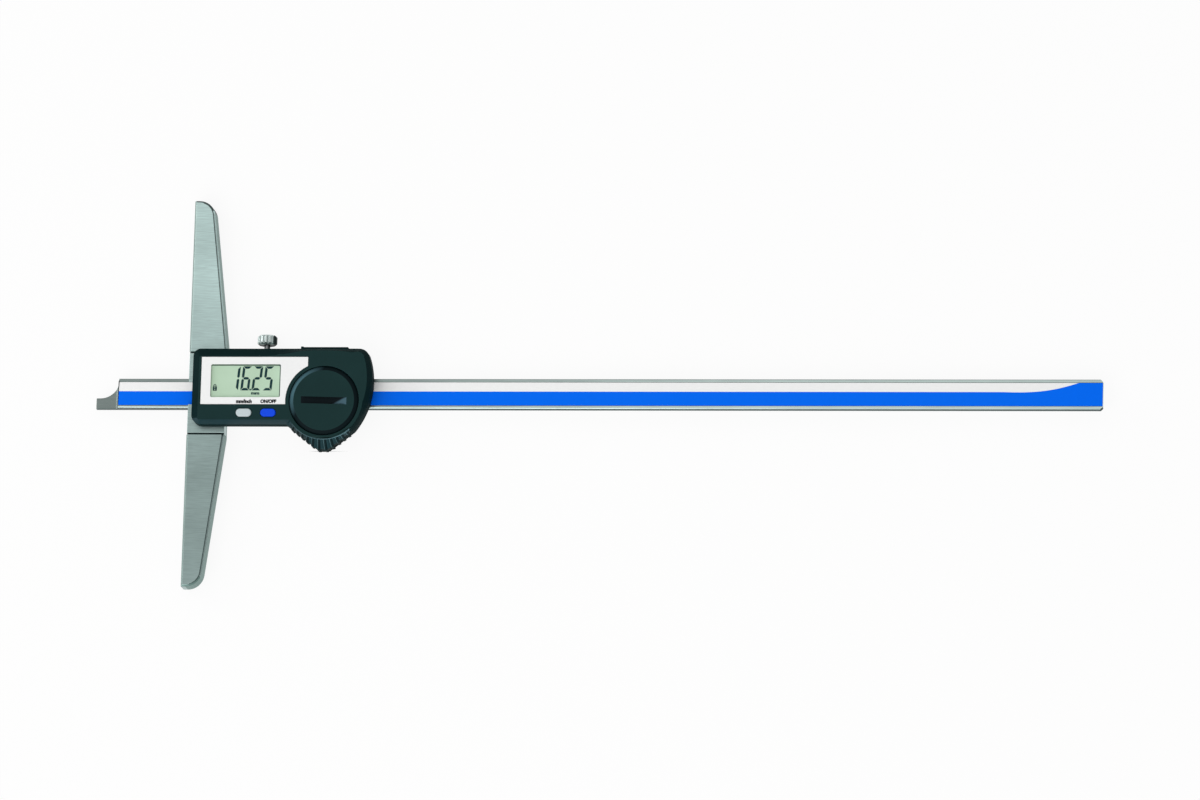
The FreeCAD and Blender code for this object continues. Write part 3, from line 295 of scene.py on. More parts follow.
class Look:
    """A Principled material with a few short ways to pattern it."""

    def __init__(self, name, roughness=0.5, metallic=0.0, specular=0.5):
        self.material = bpy.data.materials.new(name)
        self.material.use_nodes = True
        self.tree = self.material.node_tree
        self.shader = self.tree.nodes["Principled BSDF"]
        self.set(Roughness=roughness, Metallic=metallic, Specular_IOR_Level=specular)
        coordinates = self.tree.nodes.new("ShaderNodeTexCoord")
        self.place = coordinates.outputs["Object"]

    def set(self, **values):
        for name, value in values.items():
            self.shader.inputs[name.replace("_", " ")].default_value = value

    def link(self, output, socket):
        self.tree.links.new(output, self.shader.inputs[socket])

    def noise(self, size, detail=3.0, roughness=0.55, offset=0.0):
        """Noise whose spots have one size, or three along X, Y and Z."""
        if isinstance(size, float):
            size = (size,) * 3
        mapping = self.tree.nodes.new("ShaderNodeMapping")
        mapping.inputs["Scale"].default_value = [1 / mm(length) for length in size]
        mapping.inputs["Location"].default_value = (offset, offset, offset)
        noise = self.tree.nodes.new("ShaderNodeTexNoise")
        noise.inputs["Scale"].default_value = 1.0
        noise.inputs["Detail"].default_value = detail
        noise.inputs["Roughness"].default_value = roughness
        self.tree.links.new(self.place, mapping.inputs["Vector"])
        self.tree.links.new(mapping.outputs["Vector"], noise.inputs["Vector"])
        return noise.outputs["Fac"]

    def ramp(self, factor, low, high, start=0.3, end=0.7):
        """A blend from one colour to another over part of a pattern's range."""
        ramp = self.tree.nodes.new("ShaderNodeValToRGB")
        fill_ramp(ramp, ((start, low), (end, high)))
        self.tree.links.new(factor, ramp.inputs["Fac"])
        return ramp.outputs["Color"]

    def span(self, factor, low, high):
        """A pattern's middle range turned into numbers between low and high."""
        node = self.tree.nodes.new("ShaderNodeMapRange")
        node.inputs["From Min"].default_value = 0.3
        node.inputs["From Max"].default_value = 0.7
        node.inputs["To Min"].default_value = low
        node.inputs["To Max"].default_value = high
        self.tree.links.new(factor, node.inputs["Value"])
        return node.outputs["Result"]

    def multiply(self, first, second):
        mix = self.tree.nodes.new("ShaderNodeMix")
        mix.data_type = "RGBA"
        mix.blend_type = "MULTIPLY"
        mix.inputs["Factor"].default_value = 1.0
        self.tree.links.new(first, mix.inputs["A"])
        self.tree.links.new(second, mix.inputs["B"])
        return mix.outputs["Result"]

    def along(self, direction, start, end):
        """How far a point lies between two distances in millimetres along a direction, from 0 to 1."""
        distance = self.tree.nodes.new("ShaderNodeVectorMath")
        distance.operation = "DOT_PRODUCT"
        distance.inputs[1].default_value = direction
        share = self.tree.nodes.new("ShaderNodeMapRange")
        share.inputs["From Min"].default_value = mm(start)
        share.inputs["From Max"].default_value = mm(end)
        self.tree.links.new(self.place, distance.inputs[0])
        self.tree.links.new(distance.outputs["Value"], share.inputs["Value"])
        return share.outputs["Result"]

    def maths(self, operation, first, second=None):
        """The result of a sum on one or two numbers or outputs."""
        node = self.tree.nodes.new("ShaderNodeMath")
        node.operation = operation
        for socket, value in zip(node.inputs, (first, second)):
            if isinstance(value, bpy.types.NodeSocket):
                self.tree.links.new(value, socket)
            elif value is not None:
                socket.default_value = value
        return node.outputs[0]

    def faded(self, colour, fades):
        """A colour darkened by fades: each has a direction, two distances and the loss at the first."""
        for direction, start, end, loss in fades:
            share = self.along(direction, start, end)
            colour = self.multiply(colour, self.ramp(share, grey(1 - loss), grey(1.0), 0, 1))
        return colour

    def bump(self, factor, height, strength):
        """Raises the surface by a height in millimetres where the pattern is light."""
        bump = self.tree.nodes.new("ShaderNodeBump")
        bump.inputs["Distance"].default_value = mm(height)
        bump.inputs["Strength"].default_value = strength
        self.tree.links.new(factor, bump.inputs["Height"])
        self.link(bump.outputs["Normal"], "Normal")


def brushed(name, colour, lines, roughness=0.34, contrast=0.14, length=8.0, fades=()):
    """Ground steel: fine broken lines along one axis, broader streaks among them, and a cloudy tone."""
    look = Look(name, roughness=roughness, metallic=1.0)
    fine_size = [length if lines == axis else GRIND_FINE for axis in "XYZ"]
    streak_size = [length if lines == axis else GRIND_BROAD for axis in "XYZ"]
    fine = look.noise(fine_size, detail=4.0, roughness=0.7)
    streaks = look.noise(streak_size, detail=2.0, offset=3.1)
    cloud = look.noise(CLOUD_SIZE, detail=2.0, offset=7.7)
    less, more = 1 - contrast / 2, 1 + contrast / 2
    base = look.ramp(cloud, tint(colour, less), tint(colour, more))
    lined = look.ramp(fine, grey(less), grey(more), 0.25, 0.75)
    broad = look.ramp(streaks, grey(less), grey(more), 0.32, 0.68)
    tone = look.multiply(look.multiply(base, lined), broad)
    look.link(look.faded(tone, fades), "Base Color")
    look.link(look.span(fine, roughness - 0.06, roughness + 0.1), "Roughness")
    look.bump(fine, height=0.006, strength=0.5)
    return look.material


def plated(name, colour, roughness):
    """Plated metal: a faint orange-peel and small dull spots."""
    look = Look(name, roughness=roughness, metallic=1.0)
    peel = look.noise(PEEL_SIZE)
    look.link(look.ramp(peel, tint(colour, 0.88), tint(colour, 1.05)), "Base Color")
    look.link(look.span(peel, roughness - 0.05, roughness + 0.1), "Roughness")
    look.bump(peel, height=0.01, strength=0.35)
    return look.material


def moulded(
    name, colour, roughness=0.5, specular=0.3, height=GRAIN_HEIGHT, contrast=0.12, fades=()
):
    """Moulded plastic or rubber: a fine spark-eroded grain and a slow change of tone."""
    look = Look(name, roughness=roughness, specular=specular)
    fine = look.noise(GRAIN_SIZE, detail=2.0)
    slow = look.noise(SLOW_TONE_SIZE, detail=2.0, offset=5.3)
    tone = look.ramp(slow, tint(colour, 1 - contrast / 2), tint(colour, 1 + contrast / 2))
    speck = look.ramp(fine, grey(1 - contrast), grey(1.0))
    look.link(look.faded(look.multiply(tone, speck), fades), "Base Color")
    look.link(look.span(fine, roughness - 0.05, roughness + 0.08), "Roughness")
    look.bump(fine, height, strength=0.6)
    return look.material


def printed(name, colour, roughness=0.35, specular=0.25):
    """Printed film: an even ink with a faint mottle and a slight ripple."""
    look = Look(name, roughness=roughness, specular=specular)
    mottle = look.noise(MOTTLE_SIZE)
    ripple = look.noise(RIPPLE_SIZE, detail=1.0, offset=2.2)
    look.link(look.ramp(mottle, tint(colour, 0.975), colour), "Base Color")
    look.link(look.span(mottle, roughness - 0.04, roughness + 0.05), "Roughness")
    look.bump(ripple, height=0.01, strength=0.3)
    return look.material


def ribbed(name):
    """The thumb rest: painted shade on the ribs with a painted highlight on their left edge, painted
    light in the hollows, and a painted highlight line above them.
    """
    look = Look(name, roughness=0.42, specular=0.05)
    maths = look.maths
    pitch = math.radians(RIB_PITCH)
    whole_ribs = 100.0  # keeps the count of ribs positive on both sides of the middle
    split = look.tree.nodes.new("ShaderNodeSeparateXYZ")
    look.tree.links.new(look.place, split.inputs["Vector"])
    x = maths("SUBTRACT", split.outputs["X"], mm(COVER_MIDDLE.x))
    y = maths("SUBTRACT", split.outputs["Y"], mm(COVER_MIDDLE.y))
    radius = maths("SQRT", maths("ADD", maths("MULTIPLY", x, x), maths("MULTIPLY", y, y)))
    turn = maths("SUBTRACT", maths("ARCTAN2", y, x), math.radians(RIB_MIDDLE))
    share = maths("FRACT", maths("ADD", maths("DIVIDE", turn, pitch), whole_ribs + 0.5))
    across = maths("MULTIPLY", maths("SUBTRACT", share, 0.5), maths("MULTIPLY", radius, pitch))
    place = maths("ADD", maths("DIVIDE", across, mm(RIB_SPREAD)), 0.5)
    # Painted light and shade across each rib
    stripes = look.tree.nodes.new("ShaderNodeValToRGB")
    fill_ramp(stripes, RIB_LIGHT_AND_SHADE)
    look.tree.links.new(place, stripes.inputs["Fac"])
    # Painted highlight: a light line where the ribbed slope meets the cover's ring
    highlight_line = look.tree.nodes.new("ShaderNodeMix")
    highlight_line.data_type = "RGBA"
    highlight_line.inputs["B"].default_value = RIB_HIGHLIGHT_LINE
    on_line = maths("LESS_THAN", radius, mm(THUMB_TOP + RIB_LINE_WIDTH))
    look.tree.links.new(on_line, highlight_line.inputs["Factor"])
    look.tree.links.new(stripes.outputs["Color"], highlight_line.inputs["A"])
    tone = look.faded(highlight_line.outputs["Result"], THUMB_SHADE_FADES)
    fine = look.noise(GRAIN_SIZE, detail=2.0)
    speck = look.ramp(fine, grey(0.88), grey(1.0))
    look.link(look.multiply(tone, speck), "Base Color")
    look.bump(fine, GRAIN_HEIGHT, strength=0.6)
    return look.material


def display_green(name):
    """The reflector behind the liquid crystal: pale green with a very fine tooth."""
    look = Look(name, roughness=0.55, specular=0.1)
    tooth = look.noise(TOOTH_SIZE, detail=2.0)
    slow = look.noise(PANEL_TONE_SIZE, detail=1.0, offset=1.4)
    base = look.ramp(slow, srgb(189, 216, 190), srgb(197, 224, 199))
    fleck = look.ramp(tooth, grey(0.97), grey(1.0))
    look.link(look.multiply(base, fleck), "Base Color")
    look.bump(tooth, height=0.004, strength=0.4)
    return look.material


def clear(name):
    """Clear polished plastic, almost see-through, with faint hairlines in its gloss."""
    look = Look(name, roughness=0.06, specular=0.5)
    hair = look.noise(HAIRLINE_SIZE, detail=2.0)
    look.link(look.span(hair, 0.04, 0.09), "Roughness")
    look.link(look.ramp(hair, srgb(120, 140, 130), srgb(130, 150, 140)), "Base Color")
    look.set(Alpha=0.035, IOR=1.49)
    look.material.surface_render_method = "BLENDED"
    return look.material


def laminate(name, colour):
    """A circuit board: a woven tone under green varnish."""
    look = Look(name, roughness=0.35, specular=0.4)
    weave = look.tree.nodes.new("ShaderNodeTexChecker")
    weave.inputs["Scale"].default_value = 1 / mm(WEAVE_SIZE)
    weave.inputs["Color1"].default_value = tint(colour, 0.85)
    weave.inputs["Color2"].default_value = colour
    look.tree.links.new(look.place, weave.inputs["Vector"])
    look.link(weave.outputs["Color"], "Base Color")
    look.bump(look.noise(VARNISH_SIZE), height=0.01, strength=0.3)
    return look.material


MATERIALS = {
    # Painted shade: the ground steel darkens towards the bridge's lower end
    "ground_steel": brushed(
        "ground_steel", srgb(203, 228, 225), "X", contrast=0.17, length=6.0, fades=BRIDGE_SHADE_FADES
    ),
    # Painted shade: the beam's steel darkens towards the left, on its tip and on its top margin
    "beam_steel": brushed(
        "beam_steel", srgb(220, 239, 235), "X", roughness=0.3, length=20.0,
        fades=(BEAM_LEFT_SHADE, BEAM_TIP_SHADE, BEAM_TOP_MARGIN_SHADE),
    ),
    "screw_steel": plated("screw_steel", srgb(150, 152, 154), 0.3),
    "spring_steel": brushed("spring_steel", srgb(190, 192, 194), "Y"),
    "cell_steel": plated("cell_steel", srgb(206, 208, 210), 0.2),
    "knob_chrome": plated("knob_chrome", srgb(212, 224, 222), 0.3),
    "gib_brass": brushed("gib_brass", srgb(214, 182, 112), "X"),
    "contact_brass": plated("contact_brass", srgb(224, 190, 110), 0.25),
    "housing_plastic": moulded("housing_plastic", srgb(22, 50, 50), roughness=0.4, specular=0.1),
    "inner_plastic": moulded("inner_plastic", srgb(30, 31, 33)),
    "circuit_board": laminate("circuit_board", srgb(28, 98, 62)),
    "label_film": printed("label_film", srgb(246, 247, 247)),
    "clear_window": clear("clear_window"),
    "display_panel": display_green("display_panel"),
    "grey_button": moulded("grey_button", srgb(200, 214, 217), roughness=0.42, contrast=0.06),
    "blue_button": moulded(
        "blue_button", srgb(12, 74, 232), roughness=0.42, specular=0.15, contrast=0.08
    ),
    "black_rubber": moulded("black_rubber", srgb(18, 22, 23), roughness=0.7, specular=0.15),
}
BLUE_INK = printed("blue_ink", srgb(0, 108, 248), specular=0.05)
BLACK_INK = printed("black_ink", srgb(14, 16, 20), roughness=0.45, specular=0.05)
# Ink of the reading, also used for the painted shadow in the picture's corner
CRYSTAL_INK_AND_SHADE = printed("crystal_ink_and_shade", srgb(26, 56, 60), specular=0.02)
# Painted shadow along the picture's top and right edges
CRYSTAL_SHADE = printed("crystal_shade", srgb(60, 84, 74), specular=0.02)
# Painted highlight on the battery cover's slope, fading away from its upper left
COVER_RIM_HIGHLIGHT = moulded(
    "cover_rim_highlight", srgb(76, 112, 122), roughness=0.45, specular=0.03, height=0.002,
    fades=COVER_HIGHLIGHT_FADES,
)
# Painted light on the housing's lower slope
LIT_SLOPE_PLASTIC = moulded("lit_slope_plastic", srgb(24, 54, 60), roughness=0.4, specular=0.08)
THUMB_LIGHT_AND_SHADE = ribbed("thumb_light_and_shade")
# Painted shade on the beam's sides, the bridge's upper end and the rounding along its back
SHADED_EDGE_STEEL = brushed("shaded_edge_steel", srgb(80, 94, 93), "X", roughness=0.45, length=20.0)
# Painted shade on the bridge's sides that face left, lighter than on its back walls
LEFT_SIDE_SHADE_STEEL = brushed("left_side_shade_steel", srgb(146, 166, 162), "Y", roughness=0.4, length=20.0)
# Painted shade on the bridge's back walls and lower end
SHADED_WALL_STEEL = brushed("shaded_wall_steel", srgb(118, 144, 139), "Z", roughness=0.45)
# Painted shade on the knob's inner face, darkening towards the back plane
KNOB_FACE_SHADE_STEEL = brushed(
    "knob_face_shade_steel", srgb(150, 164, 162), "X", roughness=0.5, fades=KNOB_FACE_SHADE_FADES
)
# Painted shade in the knurl's grooves
KNURL_SHADE_STEEL = plated("knurl_shade_steel", srgb(190, 204, 202), 0.36)
# Painted shade: dark steel for the grooves beside the block, the knob's right side and the shank's
# sides
DARK_SHADE_STEEL = brushed("dark_shade_steel", srgb(44, 54, 54), "X", roughness=0.5)
# Painted shade on the housing's walls and on its slopes at the ends and along the top
SHADED_SIDE_PLASTIC = moulded("shaded_side_plastic", srgb(12, 36, 37), roughness=0.55, specular=0.02)
# Painted light and shadow in the coin slot
SLOT_LIGHT_AND_SHADE = moulded("slot_light_and_shade", srgb(70, 98, 110), specular=0.05, fades=SLOT_SHADOW_EDGE)
# Painted light: a pale rim inside the display's opening that lifts the shade there
LIT_OPENING_RIM = printed("lit_opening_rim", srgb(184, 208, 186), roughness=0.5, specular=0.02)


def dress_nodes():
    """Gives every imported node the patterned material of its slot."""
    for part in frame["record"]["subparts"]:
        node = frame["nodes"][part["node"]]
        for slot in node.material_slots:
            slot.material = MATERIALS[part["material_slot"]]


def body_holding(node):
    for body, members in frame["record"]["behaviour"]["bodies"].items():
        if node in members:
            return body
    return None


def slot_holding(node):
    for part in frame["record"]["subparts"]:
        if part["node"] == node:
            return part["material_slot"]
    return None


# Meshes
def within(value, limits):
    return limits[0] < value < limits[1]


def rectangle(left, low, right, high):
    """The corners of a rectangle from the lower left, anticlockwise."""
    return [(left, low), (right, low), (right, high), (left, high)]


def new_piece(name, shape, body, material, smooth=False):
    """A finished bmesh as an object that rides on a body."""
    mesh = bpy.data.meshes.new(name)
    bmesh.ops.recalc_face_normals(shape, faces=shape.faces)
    shape.to_mesh(mesh)
    shape.free()
    mesh.polygons.foreach_set("use_smooth", [smooth] * len(mesh.polygons))
    mesh.materials.append(material)
    piece = bpy.data.objects.new(name, mesh)
    bpy.context.scene.collection.objects.link(piece)
    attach(piece, body)
    return piece


def add_prism(shape, outline, z0, z1):
    """Adds an upright prism to a bmesh from a list of points in millimetres."""
    low = [shape.verts.new(mm(x, y, z0)) for x, y in outline]
    high = [shape.verts.new(mm(x, y, z1)) for x, y in outline]
    shape.faces.new(low[::-1])
    shape.faces.new(high)
    count = len(outline)
    for index in range(count):
        after = (index + 1) % count
        shape.faces.new((low[index], low[after], high[after], high[index]))


def has_room(edge, width):
    """Whether the faces beside an edge are wide enough to give way to a rounding of a width."""
    ahead = (edge.verts[1].co - edge.verts[0].co).normalized()
    for loop in edge.link_loops:
        for beside in (loop.link_loop_prev.edge, loop.link_loop_next.edge):
            across = beside.verts[1].co - beside.verts[0].co
            sideways = (across - ahead * across.dot(ahead)).length
            if sideways > across.length / 2 and sideways < mm(width) * ROOM_SHARE:
                return False
    return True


def round_edges(shape, width, segments):
    """Rounds the sharp edges of a bmesh that have room for it."""
    sharpest = math.radians(SHARP_ANGLE)
    closed = [edge for edge in shape.edges if len(edge.link_faces) == 2]
    sharp = [edge for edge in closed if edge.calc_face_angle() > sharpest and has_room(edge, width)]
    bmesh.ops.bevel(
        shape, geom=sharp, offset=mm(width), offset_type="OFFSET", segments=segments, profile=0.5,
        affect="EDGES", clamp_overlap=False, loop_slide=True,
    )


def joined_mesh(mesh):
    """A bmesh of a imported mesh, with the points that lie on each other made one."""
    shape = bmesh.new()
    shape.from_mesh(mesh)
    bmesh.ops.remove_doubles(shape, verts=shape.verts, dist=mm(SAME_PLACE))
    return shape


def eased(node, width):
    """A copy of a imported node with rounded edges, which stands for that node."""
    shape = joined_mesh(frame["nodes"][node].data)
    bmesh.ops.dissolve_limit(
        shape, angle_limit=math.radians(SAME_PLANE), verts=shape.verts, edges=shape.edges,
        delimit=set(),
    )
    round_edges(shape, width, EDGE_SEGMENTS)
    slot = slot_holding(node)
    piece = new_piece(f"{node}_eased", shape, body_holding(node), MATERIALS[slot], smooth=True)
    normals = piece.modifiers.new("flat faces first", "WEIGHTED_NORMAL")
    normals.weight = FLAT_FACE_WEIGHT
    normals.keep_sharp = False
    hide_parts(node)
    return piece


def paint_faces(piece, material, chosen):
    """Gives another material to the faces that a test picks from their middle and their normal."""
    piece.data.materials.append(material)
    index = len(piece.data.materials) - 1
    for face in piece.data.polygons:
        if chosen(face.center / MM, face.normal):
            face.material_index = index


def bridge_wall(place, normal):
    """The walls along the bridge's back and round its lower end."""
    faces_back = normal.x > BRIDGE_LEAN and normal.z < LEAN
    return place.x > MEASURING_FACE_END and (faces_back or normal.y < -LEAN)


def bridge_upper_end(place, normal):
    return normal.y > LEAN and place.x > MEASURING_FACE_END


def bridge_back_rounding(place, normal):
    """The rounding between the bridge's front face and the chamfer along its back."""
    return normal.x > ROUNDING_LEAN and within(normal.z, ROUNDING_TILT)


def block_groove(place, normal):
    """The narrow grooves on the front, where the slider frame's block meets the bridge."""
    beside_block = abs(place.y) > BLOCK_HALF - GROOVE_WIDTH
    near_front = place.z > BRIDGE_HIGH.z - GROOVE_DEPTH
    return beside_block and near_front and place.x < BRIDGE_HIGH.x + GROOVE_OVERRUN


def steel_pieces():
    """The ground steel, with painted shade on its sides, along its edges and in the grooves beside the
    slider frame's block.
    """
    bridge = eased("bridge", STEEL_EDGE)
    # Painted shade on the bridge's back walls and lower end
    paint_faces(bridge, SHADED_WALL_STEEL, bridge_wall)
    # Painted shade on the bridge's sides that face left
    paint_faces(bridge, LEFT_SIDE_SHADE_STEEL, lambda place, normal: normal.x < -BRIDGE_LEAN)
    # Painted shade: a dark line along the rounding at the bridge's back, and on its upper end
    paint_faces(bridge, SHADED_EDGE_STEEL, bridge_back_rounding)
    paint_faces(bridge, SHADED_EDGE_STEEL, bridge_upper_end)
    # Painted shade in the grooves beside the slider frame's block
    paint_faces(eased("slider_frame", STEEL_EDGE), DARK_SHADE_STEEL, block_groove)
    rail = eased("beam_rail", STEEL_EDGE)
    # Painted shade on the beam's sides and chamfers
    paint_faces(rail, SHADED_EDGE_STEEL, lambda place, normal: abs(normal.y) > BEAM_LEAN)
    eased("stop_block", STEEL_EDGE)


def knob_piece():
    """The lock screw's head, with painted shade in its grooves, on its inner rim and towards the right.
    """
    knob = eased("lock_screw_knob", SMALL_EDGE)
    low, high = node_box("lock_screw_knob")
    middle, radius = (low + high) / 2, (high.x - low.x) / 2

    def in_knurl(place, normal):
        from_axis = math.hypot(place.x - middle.x, place.z - middle.z)
        return from_axis < radius - KNURL_DEPTH and abs(normal.y) < LEAN

    def shaded_right_side(place, normal):
        return place.x > middle.x + radius * KNOB_SHADE_SHARE and normal.x > LEAN

    # Painted shade in the knurl's grooves
    paint_faces(knob, KNURL_SHADE_STEEL, in_knurl)
    # Painted shade on the inner face, darker towards the back plane
    paint_faces(knob, KNOB_FACE_SHADE_STEEL, lambda place, normal: normal.y < -LEAN)
    # Painted shade on the right side
    paint_faces(knob, DARK_SHADE_STEEL, shaded_right_side)
    shank = eased("lock_screw_shank", SMALL_EDGE)
    # Painted shade on the shank's sides
    paint_faces(shank, DARK_SHADE_STEEL, lambda place, normal: abs(normal.x) > SHANK_LEAN)


def round_battery(place):
    """How far a place lies from the battery's centre, and in which direction in degrees."""
    off = place - COVER_MIDDLE
    return math.hypot(off.x, off.y), math.degrees(math.atan2(off.y, off.x))


def on_thumb_rest(place):
    radius, turn = round_battery(place)
    return radius > THUMB_INNER and THUMB_START < turn < THUMB_END


def shaded_side(place, normal):
    """The housing's walls, and its slopes at both ends and along the top, which get painted shade."""
    if abs(normal.z) < WALL_TILT:
        return True
    if abs(normal.z) >= SLOPE_TILT[1] or on_thumb_rest(place):
        return False
    at_left = normal.x < -LEAN and place.x < HOUSING_LEFT + LEFT_SLOPE_REACH
    return at_left or max(normal.x, normal.y) > LEAN


def lit_slope(place, normal):
    """The housing's slope along the bottom, which gets painted light."""
    faces_down = normal.y < -LEAN and normal.x < SLIGHT_LEAN
    return within(normal.z, SLOPE_TILT) and faces_down and not on_thumb_rest(place)


def ribbed_face(place, normal):
    on_slope = on_thumb_rest(place) and normal.z > SLOPE_TILT[0]
    return on_slope and round_battery(place)[0] > THUMB_TOP


def cover_slope(place, normal):
    return round_battery(place)[0] > COVER_SLOPE_START and within(normal.z, COVER_TILT)


def opening_wall(place, normal):
    """The walls of the housing's opening round the display, which get painted light."""
    across = WINDOW_LOW.x - OPENING_MARGIN < place.x < WINDOW_HIGH.x + OPENING_MARGIN
    along = WINDOW_LOW.y - OPENING_MARGIN < place.y < WINDOW_HIGH.y + OPENING_MARGIN
    upright = abs(normal.z) < OPENING_TILT and place.z > WINDOW_HIGH.z - OPENING_DEPTH
    return upright and across and along


def in_coin_slot(place, normal):
    off = place - COVER_MIDDLE
    inside = abs(off.x) < SLOT_HALF_LENGTH and abs(off.y) < SLOT_HALF_WIDTH
    return inside and COVER_HIGH.z - SLOT_DEPTH < place.z < COVER_HIGH.z - SLOT_SKIN


def moulded_pieces():
    """The plastic, with painted shade on its walls and slopes, painted light on its lower slope and
    inside the display's opening, painted light and shade on the thumb rest, a painted highlight on the
    battery cover's slope, and painted light and shadow in the coin slot.
    """
    front = eased("housing_front", MOULDED_EDGE)
    rear = eased("housing_rear", MOULDED_EDGE)
    for shell in (front, rear):
        # Painted shade on the walls and on the slopes at the ends and along the top
        paint_faces(shell, SHADED_SIDE_PLASTIC, shaded_side)
    # Painted light on the lower slope
    paint_faces(front, LIT_SLOPE_PLASTIC, lit_slope)
    # Painted light and shade across the thumb rest's ribs
    paint_faces(front, THUMB_LIGHT_AND_SHADE, ribbed_face)
    # Painted light on the walls inside the display's opening
    paint_faces(front, LIT_OPENING_RIM, opening_wall)
    eased("port_cover", MOULDED_EDGE)
    cover = eased("battery_cover", MOULDED_EDGE)
    # Painted light and shadow in the coin slot
    paint_faces(cover, SLOT_LIGHT_AND_SHADE, in_coin_slot)
    # Painted highlight on the cover's slope
    paint_faces(cover, COVER_RIM_HIGHLIGHT, cover_slope)


# Screws on the back
def islands(mesh):
    """The lowest and highest corners in millimetres of each separate solid in a mesh."""
    shape = joined_mesh(mesh)
    waiting = set(shape.verts)
    boxes = []
    while waiting:
        reached = [waiting.pop()]
        places = []
        while reached:
            vert = reached.pop()
            places.append(vert.co / MM)
            for edge in vert.link_edges:
                other = edge.other_vert(vert)
                if other in waiting:
                    waiting.remove(other)
                    reached.append(other)
        low = Vector([min(place[axis] for place in places) for axis in range(3)])
        high = Vector([max(place[axis] for place in places) for axis in range(3)])
        boxes.append((low, high))
    shape.free()
    return boxes


def ring_of(shape, centre, radius, z):
    """A closed row of points on a circle."""
    row = []
    for index in range(SCREW_SIDES):
        turn = 2 * math.pi * index / SCREW_SIDES
        x, y = centre.x + radius * math.cos(turn), centre.y + radius * math.sin(turn)
        row.append(shape.verts.new(mm(x, y, z)))
    return row


def band(shape, first, second):
    """Faces between two closed rows of points."""
    count = len(first)
    for index in range(count):
        after = (index + 1) % count
        shape.faces.new((first[index], first[after], second[after], second[index]))


def cross_outline(centre, arm, half):
    """The corners of a cross from the reach of its arms and half their width."""
    corners = [(arm, half), (half, half), (half, arm), (-half, arm), (-half, half), (-arm, half)]
    corners += [(-x, -y) for x, y in corners]
    return [(centre.x + x, centre.y + y) for x, y in corners]


def back_screws(node):
    """A node's screws, with chamfered heads and a cross recess that tapers inwards."""
    shape = bmesh.new()
    for low, high in islands(frame["nodes"][node].data):
        centre, radius = (low + high) / 2, (high.x - low.x) / 2
        chamfer, arm, half = radius * HEAD_CHAMFER, radius * CROSS_ARM, radius * CROSS_HALF
        face = ring_of(shape, centre, radius - chamfer, low.z)
        rim = ring_of(shape, centre, radius, low.z + chamfer)
        end = ring_of(shape, centre, radius, high.z)
        outer = [shape.verts.new(mm(x, y, low.z)) for x, y in cross_outline(centre, arm, half)]
        floor_cross = cross_outline(centre, arm * CROSS_ARM_TAPER, half * CROSS_HALF_TAPER)
        floor_z = low.z + radius * CROSS_DEPTH
        inner = [shape.verts.new(mm(x, y, floor_z)) for x, y in floor_cross]
        band(shape, face, rim)
        band(shape, rim, end)
        band(shape, outer, inner)
        shape.faces.new(end)
        shape.faces.new(inner)
        edges = [
            shape.edges.get((row[index - 1], row[index]))
            for row in (face, outer)
            for index in range(len(row))
        ]
        bmesh.ops.triangle_fill(shape, use_beauty=True, use_dissolve=False, edges=edges)
    slot = slot_holding(node)
    piece = new_piece(f"{node}_recessed", shape, body_holding(node), MATERIALS[slot])
    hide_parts(node)


# Beam
def cubic(points, share):
    """A point on a cubic curve with four control points."""
    rest = 1 - share
    weights = (rest**3, 3 * rest**2 * share, 3 * rest * share**2, share**3)
    return tuple(sum(w * p[axis] for w, p in zip(weights, points)) for axis in (0, 1))


def beam_stripe():
    """The blue half of the beam's label, which sweeps up to the full width near the far end."""
    low, high = node_box("scale_label")
    flare = [cubic(STRIPE_FLARE, step / STRIPE_STEPS) for step in range(STRIPE_STEPS + 1)]
    outline = [(low.x, low.y), (high.x, low.y), (high.x, high.y)] + flare[::-1] + [(low.x, STRIPE_TOP)]
    shape = bmesh.new()
    add_prism(shape, outline, high.z, high.z + STRIPE_LIFT)
    new_piece("beam_stripe", shape, "beam", BLUE_INK)


# Display
def segment_outlines(wide, tall, stroke, gap):
    """The seven bars of a digit by letter, mitred where they meet, from its lower left corner."""
    half, middle = stroke / 2, tall / 2
    top_bar = [
        (gap, tall), (wide - gap, tall), (wide - stroke - gap, tall - stroke),
        (stroke + gap, tall - stroke),
    ]
    upper_left = [
        (0, tall - gap), (stroke, tall - stroke - gap), (stroke, middle + half + gap),
        (half, middle + gap), (0, middle + half + gap),
    ]
    low_bar = [(x, tall - y) for x, y in top_bar]
    lower_left = [(x, tall - y) for x, y in upper_left]
    middle_bar = [
        (half + gap, middle), (stroke + gap, middle - half),
        (wide - stroke - gap, middle - half), (wide - half - gap, middle),
        (wide - stroke - gap, middle + half), (stroke + gap, middle + half),
    ]
    return {
        "a": top_bar,
        "b": [(wide - x, y) for x, y in upper_left],
        "c": [(wide - x, y) for x, y in lower_left],
        "d": low_bar,
        "e": lower_left,
        "f": upper_left,
        "g": middle_bar,
    }


def slanted(x, y):
    """Leans a point of the display's digits to the right."""
    return (x + (y - DIGIT_BOTTOM) * math.tan(math.radians(DIGIT_SLANT)), y)


def display_picture():
    """The pale green plate that the reading stands on, with eased edges."""
    shape = bmesh.new()
    outline = rectangle(*WINDOW_LOW.xy, *WINDOW_HIGH.xy)
    add_prism(shape, outline, PICTURE_TOP - PICTURE_THICK, PICTURE_TOP)
    round_edges(shape, PRINT_THICK, 1)
    new_piece("display_picture", shape, "slider", MATERIALS["display_panel"])


